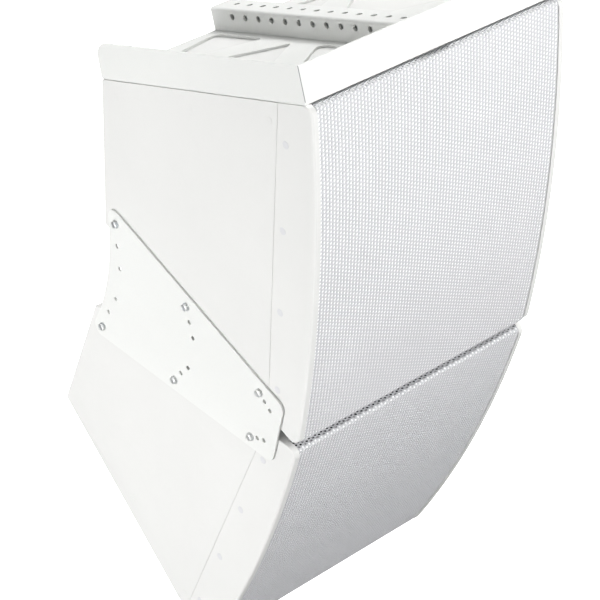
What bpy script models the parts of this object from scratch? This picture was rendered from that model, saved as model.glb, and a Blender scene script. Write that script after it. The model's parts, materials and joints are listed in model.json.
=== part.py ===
"""Line array speaker: two wedge cabinets under a fly frame, joined by link plates.

Metres, +Z up, cabinets facing -Y, left side at -X. The origin is on top of the fly beam.
"""

import math

import bmesh
import bpy
from mathutils import Matrix, Vector

# Cabinet
WIDTH = 0.678
DEPTH = 0.618
FRONT_HEIGHT = 0.8026
FRONT_BULGE = 0.0274
TAPER = math.radians(20.0)
WALL = 0.018
GAP = 0.0003

# Front section
CHEEK_BACK = 0.0893
CHEEK_THICKNESS = 0.015
CHEEK_CORNER = 0.020
CHEEK_EDGE = 0.005
GRILLE_INSET = 0.003
GRILLE_SHEET = 0.002
GRILLE_BEND = 0.016
GRILLE_RETURN = 0.040
FOAM_THICKNESS = 0.008
BAFFLE_FRONT = 0.088

# Array
SPLAY = math.radians(20.0)
FRONT_GAP = 0.0128
RIG_FIRST = 0.1323
RIG_STEP = 0.2464
RIG_INSET = 0.0371
RIG_HOLE = 0.0052
ANGLE_STEP = math.radians(5.0)
ANGLE_PIVOT = (-0.063, -0.148)

# Link plates and bolts
PLATE_THICKNESS = 0.005
PLATE_MARGIN = 0.0285
PLATE_FRONT = 0.0535
PLATE_WAIST = 0.6168
PLATE_WAIST_RADIUS = 0.621
PLATE_CORNER = 0.022
BOLT_HOLE = 0.00515
SHANK = 0.0047
HEX_CORNER = 0.00825
HEX_HEIGHT = 0.006
WASHER = 0.0095
WASHER_THICKNESS = 0.0016

# Fly frame
TRAY_HALF_WIDTH = 0.3428
TRAY_FRONT = 0.0085
TRAY_REAR = 0.664
TRAY_SEAT = 0.0005
TRAY_HEIGHT = 0.080
TRAY_SHEET = 0.005
TRAY_BEND = 0.008
FLANGE_REAR = 0.653
FLANGE_LEAN = 0.008
FLANGE_CORNER = 0.036
FLANGE_NOTCH = 0.030
FLANGE_RELIEF = 0.012
SEAM = 0.0008
SEAM_DEPTH = 0.0022
FRAME_BOLT_X = 0.313
FRAME_BOLT_S = (0.125, 0.560)

# Fly beam
BEAM_HALF_WIDTH = 0.032
BEAM_REAR = 0.6635
BEAM_TOP = 0.0555
BEAM_SHEET = 0.006
BEAM_BEND = 0.006
BEAM_HOLE = 0.007
BEAM_HOLE_LAST = 0.612
BEAM_PITCH = 0.043
BEAM_HOLES = 13
BEAM_SIDE_OFFSET = 0.0179
BEAM_SIDE_HOLE_HEIGHT = 0.038

# How far cutters reach past what they cut
BEYOND = 0.02
BORE_REACH = 0.03

# Facets of round shapes
TURNED_SIDES = 18
HOLE_SIDES = 10

# Rear fittings and brace
PANEL_HALF = (0.0995, 0.0595)
PANEL_THICKNESS = 0.003
PANEL_WINDOW = (0.085, 0.045)
SOCKET_X = 0.035
SOCKET_RADIUS = 0.0145
SOCKET_REACH = (0.028, 0.002)
BOARD_X = (-0.26, -0.10)
BOARD_HALF_HEIGHT = 0.07
BOARD_THICKNESS = 0.003
BRACE_FRONT = 0.360
BRACE_BACK = 0.375
BRACE_RAIL = 0.055
FIT = 0.0005

# Drivers
WOOFER_RIM = 0.1305
WOOFER_CUTOUT = 0.118
HORN_MOUTH = (0.210, 0.056)
HORN_FLANGE = (0.235, 0.068)
HORN_WALL = 0.003
THROAT_RADIUS = 0.0125
THROAT_PLANE = 0.240
THROAT_COLLAR = 0.006

HALF_FRONT = FRONT_HEIGHT / 2
HALF_WIDTH = WIDTH / 2
SIDE_PLANE = Matrix(((0, 0, 1, 0), (1, 0, 0, 0), (0, 1, 0, 0), (0, 0, 0, 1)))
FRONT_PLANE = Matrix.Rotation(math.pi / 2, 4, "X")


# ---------------------------------------------------------------- scene and objects

def clear_scene():
    for old in list(bpy.data.objects):
        bpy.data.objects.remove(old)
    for old in list(bpy.data.collections):
        bpy.data.collections.remove(old)


def new_collection(name):
    collection = bpy.data.collections.new(name)
    bpy.context.scene.collection.children.link(collection)
    return collection


def new_material(name, colour, roughness, metallic=0.0):
    material = bpy.data.materials.new(name)
    material.use_nodes = True
    shader = material.node_tree.nodes["Principled BSDF"]
    shader.inputs["Base Color"].default_value = (*colour, 1.0)
    shader.inputs["Roughness"].default_value = roughness
    shader.inputs["Metallic"].default_value = metallic
    material.diffuse_color = (*colour, 1.0)
    return material


def new_empty(name, matrix):
    empty = bpy.data.objects.new(name, None)
    PARTS.objects.link(empty)
    empty.matrix_world = matrix
    return empty


def add_part(name, mesh, look, parent, matrix=None):
    """A named solid with a material of its own, placed in its parent's frame."""
    part = bpy.data.objects.new(name, mesh)
    PARTS.objects.link(part)
    part.parent = parent
    part.matrix_local = matrix if matrix is not None else Matrix.Identity(4)
    part.data.materials.clear()
    part.data.materials.append(new_material(name, *look))
    return part


def add_cutter(name, meshes, parent):
    """One hidden cutter from several separate closed meshes."""
    joined = bmesh.new()
    for mesh in meshes:
        joined.from_mesh(mesh)
    data = bpy.data.meshes.new(name)
    joined.to_mesh(data)
    joined.free()
    cutter = bpy.data.objects.new(name, data)
    CUTTERS.objects.link(cutter)
    cutter.parent = parent
    cutter.hide_render = True
    cutter.display_type = "WIRE"
    return cutter


def boolean(part, other, operation="DIFFERENCE"):
    modifier = part.modifiers.new(other.name, "BOOLEAN")
    modifier.operation = operation
    modifier.object = other
    modifier.solver = "EXACT"


def shade_round(mesh, angle=35.0):
    mesh.shade_smooth()
    mesh.set_sharp_from_angle(angle=math.radians(angle))


# ---------------------------------------------------------------- outlines and meshes

def rounded(corners, steps=5):
    """An outline from (x, y, radius) corners, each radius drawn as an arc."""
    outline = []
    count = len(corners)
    for i, (x, y, radius) in enumerate(corners):
        here = Vector((x, y))
        if radius == 0:
            outline.append(here)
            continue
        to_last = (Vector(corners[i - 1][:2]) - here).normalized()
        to_next = (Vector(corners[(i + 1) % count][:2]) - here).normalized()
        half = to_last.angle(to_next) / 2
        centre = here + (to_last + to_next).normalized() * (radius / math.sin(half))
        start = here + to_last * (radius / math.tan(half)) - centre
        bend = math.pi - 2 * half
        if to_last.x * to_next.y - to_last.y * to_next.x > 0:
            bend = -bend
        for step in range(steps + 1):
            turn = bend * step / steps
            c, s = math.cos(turn), math.sin(turn)
            outline.append(centre + Vector((start.x * c - start.y * s, start.x * s + start.y * c)))
    return outline


def circle(x, y, radius, segments):
    turns = [2 * math.pi * i / segments for i in range(segments)]
    return [Vector((x + radius * math.cos(t), y + radius * math.sin(t))) for t in turns]


def strip(path, thickness):
    """The closed outline of a sheet whose outer face follows path, thick to its left."""
    inner = []
    for i, point in enumerate(path):
        before = (point - path[i - 1]).normalized() if i > 0 else None
        after = (path[i + 1] - point).normalized() if i < len(path) - 1 else None
        before = before or after
        after = after or before
        along = (before + after).normalized()
        normal = Vector((-along.y, along.x))
        inner.append(point + normal * (thickness / along.dot(after)))
    return list(path) + inner[::-1]


def outline_mesh(name, loops, low, high, plane=Matrix.Identity(4)):
    """A flat filled curve with holes, extruded from low to high along its own normal."""
    curve = bpy.data.curves.new(name, "CURVE")
    curve.dimensions = "2D"
    curve.fill_mode = "BOTH"
    curve.extrude = (high - low) / 2
    for loop in loops:
        spline = curve.splines.new("POLY")
        spline.points.add(len(loop) - 1)
        for point, (x, y) in zip(spline.points, loop):
            point.co = (x, y, 0.0, 1.0)
        spline.use_cyclic_u = True
    guide = bpy.data.objects.new(name, curve)
    CUTTERS.objects.link(guide)
    bpy.context.view_layer.update()
    evaluated = guide.evaluated_get(bpy.context.evaluated_depsgraph_get())
    mesh = bpy.data.meshes.new_from_object(evaluated)
    bpy.data.objects.remove(guide)
    solid = bmesh.new()
    solid.from_mesh(mesh)
    bmesh.ops.remove_doubles(solid, verts=solid.verts, dist=0.00001)
    bmesh.ops.translate(solid, verts=solid.verts, vec=(0, 0, (low + high) / 2))
    bmesh.ops.transform(solid, verts=solid.verts, matrix=plane)
    bmesh.ops.recalc_face_normals(solid, faces=solid.faces)
    solid.to_mesh(mesh)
    solid.free()
    return mesh


def box_mesh(name, low, high, is_rounded=None, radius=0.0, steps=3):
    """A box between two corners; edges that is_rounded picks get a radius."""
    box = bmesh.new()
    bmesh.ops.create_cube(box, size=1.0)
    size = Vector(high) - Vector(low)
    bmesh.ops.scale(box, verts=box.verts, vec=size)
    bmesh.ops.translate(box, verts=box.verts, vec=(Vector(low) + Vector(high)) / 2)
    if is_rounded:
        edges = [e for e in box.edges if is_rounded((e.verts[0].co + e.verts[1].co) / 2)]
        bmesh.ops.bevel(box, geom=edges, offset=radius, segments=steps, profile=0.5, affect="EDGES")
    mesh = bpy.data.meshes.new(name)
    box.to_mesh(mesh)
    box.free()
    return mesh


def rod_mesh(name, start, end, radius, segments):
    """A capped cylinder from start to end."""
    start, end = Vector(start), Vector(end)
    along = end - start
    rod = bmesh.new()
    bmesh.ops.create_cone(
        rod, cap_ends=True, segments=segments, radius1=radius, radius2=radius, depth=along.length
    )
    turn = Vector((0, 0, 1)).rotation_difference(along).to_matrix().to_4x4()
    place = Matrix.Translation((start + end) / 2) @ turn
    bmesh.ops.transform(rod, verts=rod.verts, matrix=place)
    mesh = bpy.data.meshes.new(name)
    rod.to_mesh(mesh)
    rod.free()
    return mesh


def add_turned(name, profile, closed, segments, look, parent, matrix):
    """A profile of (radius, height) points turned about the part's own Z axis."""
    mesh = bpy.data.meshes.new(name)
    edges = [(i, i + 1) for i in range(len(profile) - 1)]
    if closed:
        edges.append((len(profile) - 1, 0))
    mesh.from_pydata([(r, 0.0, h) for r, h in profile], edges, [])
    part = add_part(name, mesh, look, parent, matrix)
    screw = part.modifiers.new("Turn", "SCREW")
    screw.axis = "Z"
    screw.steps = segments
    screw.render_steps = segments
    screw.use_merge_vertices = True
    screw.merge_threshold = 0.00001
    screw.use_smooth_shade = True
    return part


def baked_mesh(part):
    """The part's mesh with its modifiers applied."""
    bpy.context.view_layer.update()
    evaluated = part.evaluated_get(bpy.context.evaluated_depsgraph_get())
    return bpy.data.meshes.new_from_object(evaluated)


# ---------------------------------------------------------------- shared geometry

def edge_height(y, inset=0.0):
    """Half height of the cabinet at depth y, less an inset square to the sloped face."""
    return HALF_FRONT - y * math.tan(TAPER) - inset / math.cos(TAPER)


def front_depth(z, inset=0.0):
    """Depth of the bulged front at height z, inset towards the back."""
    radius = (HALF_FRONT ** 2 + FRONT_BULGE ** 2) / (2 * FRONT_BULGE)
    return radius - FRONT_BULGE - math.sqrt((radius - inset) ** 2 - z ** 2)


def front_corner(front_inset, edge_inset):
    """Where the inset front meets the inset sloped face."""
    y = 0.0
    for _ in range(20):
        y = front_depth(edge_height(y, edge_inset), front_inset)
    return y, edge_height(y, edge_inset)


def front_path(front_inset, edge_inset, back, corner_radius, steps=12):
    """From the back of the top face round the bulged front to the back of the bottom face."""
    corner_y, corner_z = front_corner(front_inset, edge_inset)
    reach = corner_z * 0.86
    heights = [reach - 2 * reach * i / steps for i in range(steps + 1)]
    corners = [(back, edge_height(back, edge_inset), 0), (corner_y, corner_z, corner_radius)]
    corners += [(front_depth(z, front_inset), z, 0) for z in heights]
    corners += [(corner_y, -corner_z, corner_radius), (back, -edge_height(back, edge_inset), 0)]
    return rounded(corners)


def rig_point(index):
    """(y, z) of a rigging point in the upper row of a cabinet, front to rear."""
    along = RIG_FIRST + RIG_STEP * index
    y = along * math.cos(TAPER) - RIG_INSET * math.sin(TAPER)
    return y, HALF_FRONT - along * math.sin(TAPER) - RIG_INSET * math.cos(TAPER)


def frame_to_cabinet(s, h):
    """(y, z) of a point s along the sloped top and h above it."""
    y = s * math.cos(TAPER) + h * math.sin(TAPER)
    return y, HALF_FRONT - s * math.sin(TAPER) + h * math.cos(TAPER)


def splay_centre():
    """Depth of the point that the lower cabinet turns about, on both cabinets' mid-planes."""
    half = SPLAY / 2
    return (HALF_FRONT + FRONT_GAP / (2 * math.cos(half))) / math.tan(half)


def to_link(y, z):
    """Cabinet (y, z) to the link plate's frame, whose Y runs along the splay's middle plane."""
    half = SPLAY / 2
    z = z + splay_centre() * math.tan(half)
    return y * math.cos(half) + z * math.sin(half), z * math.cos(half) - y * math.sin(half)


def link_holes():
    """The link plate's six bolt places and its twelve spare holes, in its own frame."""
    bolts, spares = [], []
    pivot_y, pivot_z = ANGLE_PIVOT
    for index in range(3):
        y, z = rig_point(index)
        bolts.append(to_link(y, -z))
        for turns in (1, 2):
            turn = -ANGLE_STEP * turns
            dy, dz = y - pivot_y, -z - pivot_z
            turned_y = pivot_y + dy * math.cos(turn) - dz * math.sin(turn)
            turned_z = pivot_z + dy * math.sin(turn) + dz * math.cos(turn)
            spares.append(to_link(turned_y, turned_z))
    bolts += [(y, -z) for y, z in bolts]
    spares += [(y, -z) for y, z in spares]
    return bolts, spares


# ---------------------------------------------------------------- looks

WHITE = ((0.88, 0.88, 0.87), 0.45)
SHEET_WHITE = ((0.90, 0.90, 0.90), 0.35)
GRILLE_WHITE = ((0.86, 0.86, 0.86), 0.40)
FOAM_GREY = ((0.55, 0.56, 0.57), 0.95)
ZINC = ((0.62, 0.62, 0.60), 0.30, 1.0)
BLACK = ((0.03, 0.03, 0.03), 0.55)
CONE_GREY = ((0.07, 0.07, 0.08), 0.75)
WOOD = ((0.55, 0.42, 0.28), 0.70)
BOARD_GREEN = ((0.05, 0.22, 0.10), 0.50)


# ---------------------------------------------------------------- cabinet

def add_shell(prefix, frame):
    """Wedge box open at the front, with pockets for the cheeks and the rear input panel."""
    top_front = GRILLE_RETURN + 0.0005
    outline = [
        (top_front, edge_height(top_front), 0),
        (DEPTH, edge_height(DEPTH), 0.004),
        (DEPTH, -edge_height(DEPTH), 0.004),
        (top_front, -edge_height(top_front), 0),
    ]
    mesh = outline_mesh(prefix, [rounded(outline, 2)], -HALF_WIDTH, HALF_WIDTH, SIDE_PLANE)
    shell = add_part(f"{prefix}_cabinet_shell", mesh, WHITE, frame)
    inner_rear = DEPTH - WALL
    cavity = [
        (0.0, edge_height(0.0, WALL)),
        (inner_rear, edge_height(inner_rear, WALL)),
        (inner_rear, -edge_height(inner_rear, WALL)),
        (0.0, -edge_height(0.0, WALL)),
    ]
    side = HALF_WIDTH - WALL
    boolean(shell, add_cutter(
        f"{prefix}_cavity_cut", [outline_mesh(prefix, [cavity], -side, side, SIDE_PLANE)], frame
    ))
    pocket = HALF_WIDTH - CHEEK_THICKNESS - GAP
    panel_x, panel_z = PANEL_HALF[0] + FIT, PANEL_HALF[1] + FIT
    seat = DEPTH - PANEL_THICKNESS - FIT
    pockets = [
        box_mesh(prefix, (pocket, -BEYOND, -HALF_FRONT), (HALF_WIDTH + BEYOND, CHEEK_BACK + GAP, HALF_FRONT)),
        box_mesh(prefix, (-HALF_WIDTH - BEYOND, -BEYOND, -HALF_FRONT), (-pocket, CHEEK_BACK + GAP, HALF_FRONT)),
        box_mesh(prefix, (-panel_x, seat, -panel_z), (panel_x, DEPTH + BEYOND, panel_z)),
    ]
    boolean(shell, add_cutter(f"{prefix}_pocket_cut", pockets, frame))
    window_x, window_z = PANEL_WINDOW
    holes = [box_mesh(
        prefix, (-window_x, DEPTH - WALL - BEYOND, -window_z), (window_x, DEPTH + BEYOND, window_z)
    )]
    for index in range(3):
        y, z = rig_point(index)
        for x in (-HALF_WIDTH, HALF_WIDTH):
            for height in (z, -z):
                ends = [(x + reach, y, height) for reach in (-BORE_REACH, BORE_REACH)]
                holes.append(rod_mesh(prefix, *ends, RIG_HOLE, HOLE_SIDES))
    for s in FRAME_BOLT_S:
        for x in (-FRAME_BOLT_X, FRAME_BOLT_X):
            low, high = frame_to_cabinet(s, -BORE_REACH), frame_to_cabinet(s, BORE_REACH)
            holes.append(rod_mesh(prefix, (x, *low), (x, *high), RIG_HOLE, HOLE_SIDES))
    boolean(shell, add_cutter(f"{prefix}_hole_cut", holes, frame))


def cheek_mesh(side):
    """Slab with a bulged front, its outer edge rounded all round but at the back."""
    outline = front_path(0.0, 0.0, CHEEK_BACK, CHEEK_CORNER)
    last = len(outline) - 1
    inward = []
    for i, point in enumerate(outline):
        if i in (0, last):
            lean = -1 if i == 0 else 1
            inward.append(Vector((0.0, lean / math.cos(TAPER))))
            continue
        before = (point - outline[i - 1]).normalized()
        after = (outline[i + 1] - point).normalized()
        along = (before + after).normalized()
        inward.append(Vector((-along.y, along.x)) / along.dot(after))
    turns = [math.pi / 2 * i / 4 for i in range(5)]
    steps = [(CHEEK_THICKNESS, 0.0)]
    steps += [(CHEEK_EDGE * (1 - math.sin(t)), CHEEK_EDGE * (1 - math.cos(t))) for t in turns]
    points, faces = [], []
    for depth, inset in steps:
        x = side * (HALF_WIDTH - depth)
        points += [(x, *(point + lean * inset)) for point, lean in zip(outline, inward)]
    count = last + 1
    for ring in range(len(steps) - 1):
        for i in range(last):
            a, b = ring * count + i, (ring + 1) * count + i
            faces.append((a, a + 1, b + 1, b))
    faces.append(tuple(range(count)))
    top = (len(steps) - 1) * count
    faces.append(tuple(range(top, top + count)))
    backs = [ring * count for ring in range(len(steps))]
    faces.append(tuple(backs + [back + last for back in backs[::-1]]))
    mesh = bpy.data.meshes.new("cheek")
    mesh.from_pydata(points, [], faces)
    solid = bmesh.new()
    solid.from_mesh(mesh)
    bmesh.ops.recalc_face_normals(solid, faces=solid.faces)
    solid.to_mesh(mesh)
    solid.free()
    shade_round(mesh)
    return mesh


def add_cheek(prefix, side, frame):
    name = f"{prefix}_cheek_{'left' if side < 0 else 'right'}"
    add_part(name, cheek_mesh(side), WHITE, frame)


def add_grille(prefix, frame):
    """Curved sheet between the cheeks, returned over the top and bottom, and its foam."""
    reach = HALF_WIDTH - CHEEK_THICKNESS - 0.001
    path = front_path(GRILLE_INSET, 0.0005, GRILLE_RETURN, GRILLE_BEND)
    mesh = outline_mesh(prefix, [strip(path, GRILLE_SHEET)], -reach, reach, SIDE_PLANE)
    shade_round(mesh)
    add_part(f"{prefix}_grille", mesh, GRILLE_WHITE, frame)
    inset = GRILLE_INSET + GRILLE_SHEET + GAP
    limit = HALF_FRONT - 0.030
    heights = [limit - 2 * limit * i / 10 for i in range(11)]
    path = [Vector((front_depth(z, inset), z)) for z in heights]
    mesh = outline_mesh(prefix, [strip(path, FOAM_THICKNESS)], -reach, reach, SIDE_PLANE)
    shade_round(mesh)
    add_part(f"{prefix}_grille_foam", mesh, FOAM_GREY, frame)


def woofer_height():
    """Height of the upper woofer's axis above the cabinet's middle."""
    return edge_height(BAFFLE_FRONT + WALL, WALL) - WOOFER_RIM - 0.005


def add_baffle(prefix, frame):
    """Board that carries the woofers and the horn."""
    back = BAFFLE_FRONT + WALL
    half_x = HALF_WIDTH - WALL - FIT
    half_z = edge_height(back, WALL) - FIT
    mouth_x, mouth_z = HORN_MOUTH[0] + 0.009, HORN_MOUTH[1] + 0.009
    loops = [
        [(-half_x, -half_z), (half_x, -half_z), (half_x, half_z), (-half_x, half_z)],
        circle(0, woofer_height(), WOOFER_CUTOUT, 24),
        circle(0, -woofer_height(), WOOFER_CUTOUT, 24),
        [(-mouth_x, -mouth_z), (mouth_x, -mouth_z), (mouth_x, mouth_z), (-mouth_x, mouth_z)],
    ]
    mesh = outline_mesh(prefix, loops, -back, -BAFFLE_FRONT, FRONT_PLANE)
    add_part(f"{prefix}_baffle", mesh, BLACK, frame)


def add_horn(prefix, frame):
    """Flared horn from a round throat to a wide mouth, with a flange on the baffle."""
    face = BAFFLE_FRONT - HORN_WALL - 0.001
    sections = [(*HORN_FLANGE, face, 12.0), (*HORN_MOUTH, face, 12.0)]
    stages = 4
    for stage in range(1, stages + 1):
        share = stage / stages
        flare = (1 - share) ** 1.6
        half_x = THROAT_RADIUS + (HORN_MOUTH[0] - THROAT_RADIUS) * flare
        half_z = THROAT_RADIUS + (HORN_MOUTH[1] - THROAT_RADIUS) * flare
        squareness = 2.0 + 10.0 * (1 - share)
        sections.append((half_x, half_z, face + (THROAT_PLANE - THROAT_COLLAR - face) * share, squareness))
    sections.append((THROAT_RADIUS, THROAT_RADIUS, THROAT_PLANE, 2.0))
    count = 16
    points = []
    for half_x, half_z, y, power in sections:
        for i in range(count):
            turn = 2 * math.pi * (i + 0.5) / count
            c, s = math.cos(turn), math.sin(turn)
            reach = (abs(c) ** power + abs(s) ** power) ** (-1 / power)
            points.append((half_x * c * reach, y, half_z * s * reach))
    faces = []
    for ring in range(len(sections) - 1):
        for i in range(count):
            j = (i + 1) % count
            a, b = ring * count, (ring + 1) * count
            faces.append((a + i, a + j, b + j, b + i))
    mesh = bpy.data.meshes.new(prefix)
    mesh.from_pydata(points, [], faces)
    shade_round(mesh, 50)
    horn = add_part(f"{prefix}_horn", mesh, BLACK, frame)
    wall = horn.modifiers.new("Wall", "SOLIDIFY")
    wall.thickness = HORN_WALL
    wall.offset = -1.0
    wall.use_even_offset = True


def add_compression_driver(prefix, frame):
    """High-frequency driver on the horn's throat, and the diaphragm in its chamber."""
    place = Matrix.Translation((0, THROAT_PLANE + GAP, 0)) @ FRONT_PLANE
    body = [
        (0.0, -0.034), (0.040, -0.034), (0.040, -0.012), (THROAT_RADIUS, -0.012), (THROAT_RADIUS, 0.0),
        (0.053, 0.0), (0.055, -0.002), (0.055, -0.058), (0.050, -0.062), (0.0, -0.062),
    ]
    add_turned(f"{prefix}_compression_driver", body, False, TURNED_SIDES, BLACK, frame, place)
    dome = [
        (0.0, -0.0165), (0.018, -0.0190), (0.0385, -0.0240),
        (0.0385, -0.0255), (0.018, -0.0205), (0.0, -0.0180),
    ]
    add_turned(f"{prefix}_diaphragm", dome, False, TURNED_SIDES, ZINC, frame, place)


def add_woofer(prefix, label, height, frame):
    """Basket, magnet, cone and surround on one axis, which points out of the cabinet."""
    place = Matrix.Translation((0, BAFFLE_FRONT - GAP, height)) @ FRONT_PLANE
    basket = [
        (WOOFER_RIM, 0.006), (WOOFER_RIM, 0.0), (0.1165, 0.0), (0.1165, -0.022), (0.062, -0.076),
        (0.062, -0.084), (0.034, -0.084), (0.034, -0.080), (0.058, -0.080), (0.058, -0.0735),
        (0.1135, -0.0195), (0.1135, 0.006),
    ]
    part = add_turned(f"{prefix}_basket_{label}", basket, True, TURNED_SIDES, BLACK, frame, place)
    windows = []
    for index in range(6):
        window = box_mesh(label, (0.050, -0.020, -0.064), (0.130, 0.020, -0.038))
        window.transform(Matrix.Rotation(math.pi / 3 * index, 4, "Z"))
        windows.append(window)
    cutter = add_cutter(f"{prefix}_basket_{label}_windows", windows, frame)
    cutter.matrix_local = place
    boolean(part, cutter)
    magnet = [
        (0.0, -0.0845), (0.0245, -0.0845), (0.0245, -0.118), (0.0290, -0.118), (0.0290, -0.0845),
        (0.070, -0.0845), (0.072, -0.0865), (0.072, -0.123), (0.070, -0.125), (0.0, -0.125),
    ]
    add_turned(f"{prefix}_magnet_{label}", magnet, False, TURNED_SIDES, ZINC, frame, place)
    cone = [
        (0.0, -0.0300), (0.012, -0.0315), (0.0255, -0.0385), (0.0985, -0.0040), (0.0985, -0.0055),
        (0.0270, -0.0400), (0.0268, -0.1050), (0.0256, -0.1050), (0.0256, -0.0410),
        (0.012, -0.0335), (0.0, -0.0320),
    ]
    add_turned(f"{prefix}_cone_{label}", cone, False, TURNED_SIDES, CONE_GREY, frame, place)
    middle, roll, foot = 0.1059, 0.0066, -0.0040
    arc = [math.pi * i / 4 for i in range(5)]
    surround = [(middle - roll * math.cos(t), foot + roll * math.sin(t)) for t in arc]
    under = roll - 0.0012
    surround += [(middle + under * math.cos(t), foot + under * math.sin(t)) for t in arc]
    add_turned(f"{prefix}_surround_{label}", surround, True, TURNED_SIDES, BLACK, frame, place)


def add_rear_fittings(prefix, frame):
    """Input panel with two socket bodies, and the crossover board inside the rear wall."""
    face = DEPTH - GAP
    half_x, half_z = PANEL_HALF
    mesh = box_mesh(prefix, (-half_x, face - PANEL_THICKNESS, -half_z), (half_x, face, half_z))
    panel = add_part(f"{prefix}_input_panel", mesh, BLACK, frame)
    inward, outward = SOCKET_REACH
    sockets = [
        rod_mesh(prefix, (x, face - inward, 0), (x, face + outward, 0), SOCKET_RADIUS, 12)
        for x in (-SOCKET_X, SOCKET_X)
    ]
    boolean(panel, add_cutter(f"{prefix}_sockets", sockets, frame), "UNION")
    inner = DEPTH - WALL - GAP
    low = (BOARD_X[0], inner - BOARD_THICKNESS, -BOARD_HALF_HEIGHT)
    mesh = box_mesh(prefix, low, (BOARD_X[1], inner, BOARD_HALF_HEIGHT))
    board = add_part(f"{prefix}_crossover_board", mesh, BOARD_GREEN, frame)
    pieces = [
        rod_mesh(prefix, (-0.225, inner - 0.030, 0.035), (-0.225, inner - 0.001, 0.035), 0.022, 12),
        rod_mesh(prefix, (-0.225, inner - 0.024, -0.030), (-0.225, inner - 0.001, -0.030), 0.018, 12),
        box_mesh(prefix, (-0.180, inner - 0.020, 0.010), (-0.120, inner - 0.001, 0.030)),
        box_mesh(prefix, (-0.180, inner - 0.020, -0.030), (-0.120, inner - 0.001, -0.010)),
    ]
    boolean(board, add_cutter(f"{prefix}_crossover_pieces", pieces, frame), "UNION")


def add_brace(prefix, frame):
    """Ring brace glued across the middle of the box."""
    half_x = HALF_WIDTH - WALL - FIT
    half_z = edge_height(BRACE_BACK, WALL) - FIT
    outer = [(-half_x, -half_z), (half_x, -half_z), (half_x, half_z), (-half_x, half_z)]
    open_x, open_z = half_x - BRACE_RAIL, half_z - BRACE_RAIL
    window = [
        (-open_x, -open_z, 0.02), (open_x, -open_z, 0.02), (open_x, open_z, 0.02), (-open_x, open_z, 0.02)
    ]
    mesh = outline_mesh(prefix, [outer, rounded(window, 3)], -BRACE_BACK, -BRACE_FRONT, FRONT_PLANE)
    add_part(f"{prefix}_brace", mesh, WOOD, frame)


def add_cabinet(prefix, frame):
    add_shell(prefix, frame)
    for side in (-1, 1):
        add_cheek(prefix, side, frame)
    add_grille(prefix, frame)
    add_baffle(prefix, frame)
    add_horn(prefix, frame)
    add_compression_driver(prefix, frame)
    add_woofer(prefix, "top", woofer_height(), frame)
    add_woofer(prefix, "bottom", -woofer_height(), frame)
    add_brace(prefix, frame)
    add_rear_fittings(prefix, frame)


# ---------------------------------------------------------------- fly frame and links

def half_cutouts():
    """The truss openings right of the beam as (x, s, radius) corners."""
    inner, outer = 0.052, 0.292
    rear = [(inner, 0.479, 0.006), (0.270, 0.593, 0.005), (inner, 0.636, 0.014)]
    middle = [(0.062, 0.379, 0.003), (outer, 0.225, 0.008), (outer, 0.557, 0.008)]
    front = [(inner, 0.055, 0.014), (outer, 0.055, 0.014), (outer, 0.144, 0.008), (inner, 0.304, 0.014)]
    return rear, middle, front


def add_fly_frame(frame):
    """Folded tray: floor with truss openings, two side flanges and a front flange."""
    low, wide = TRAY_SEAT, TRAY_HALF_WIDTH

    def is_outer_bend(middle):
        at_floor = abs(middle.z - low) < 0.0001
        return at_floor and middle.y < TRAY_REAR - 0.001

    mesh = box_mesh(
        "tray", (-wide, TRAY_FRONT, low), (wide, TRAY_REAR, TRAY_HEIGHT), is_outer_bend, TRAY_BEND, 4
    )
    tray = add_part("fly_frame", mesh, SHEET_WHITE, frame)
    inner_low, inner_wide = low + TRAY_SHEET, wide - TRAY_SHEET

    def is_inner_bend(middle):
        at_floor = abs(middle.z - inner_low) < 0.0001
        return at_floor and middle.y < TRAY_REAR

    room = box_mesh(
        "room", (-inner_wide, TRAY_FRONT + TRAY_SHEET, inner_low),
        (inner_wide, TRAY_REAR + BEYOND, TRAY_HEIGHT + BEYOND), is_inner_bend, TRAY_BEND - TRAY_SHEET, 3,
    )
    boolean(tray, add_cutter("tray_room_cut", [room], frame))
    openings = []
    for corners in half_cutouts():
        for side in (1, -1):
            outline = rounded([(side * x, s, r) for x, s, r in corners], 4)
            openings.append(outline_mesh("opening", [outline], -BEYOND, BEYOND))
    boolean(tray, add_cutter("tray_opening_cut", openings, frame))
    past, over = TRAY_REAR + BEYOND, TRAY_HEIGHT + BEYOND
    rear_trim = rounded([
        (FLANGE_REAR, -BEYOND, 0), (past, -BEYOND, 0), (past, over, 0),
        (FLANGE_REAR - 3 * FLANGE_CORNER, over, 0), (FLANGE_REAR - 3 * FLANGE_CORNER, TRAY_HEIGHT + 0.0002, 0),
        (FLANGE_REAR - FLANGE_LEAN, TRAY_HEIGHT + 0.0002, FLANGE_CORNER),
    ], 7)
    between = wide - TRAY_BEND
    trims = [box_mesh(
        "relief", (-between, TRAY_FRONT - BEYOND, -BEYOND), (between, TRAY_FRONT + FLANGE_RELIEF, low + TRAY_BEND)
    )]
    for side in (1, -1):
        xs = sorted((side * (wide - FLANGE_NOTCH), side * (wide + BEYOND)))
        trims.append(outline_mesh("rear", [rear_trim], *xs, SIDE_PLANE))
        seam = box_mesh("seam", (-SEAM / 2, -BEYOND, 0.010), (SEAM / 2, SEAM_DEPTH, TRAY_HEIGHT + BEYOND))
        corner = Matrix.Translation((side * wide, TRAY_FRONT, 0))
        seam.transform(corner @ Matrix.Rotation(math.radians(45 * side), 4, "Z"))
        trims.append(seam)
        for s in FRAME_BOLT_S:
            x = side * FRAME_BOLT_X
            trims.append(rod_mesh("hole", (x, s, -BEYOND), (x, s, BEYOND), BOLT_HOLE, HOLE_SIDES))
    boolean(tray, add_cutter("tray_trim_cut", trims, frame))


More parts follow.
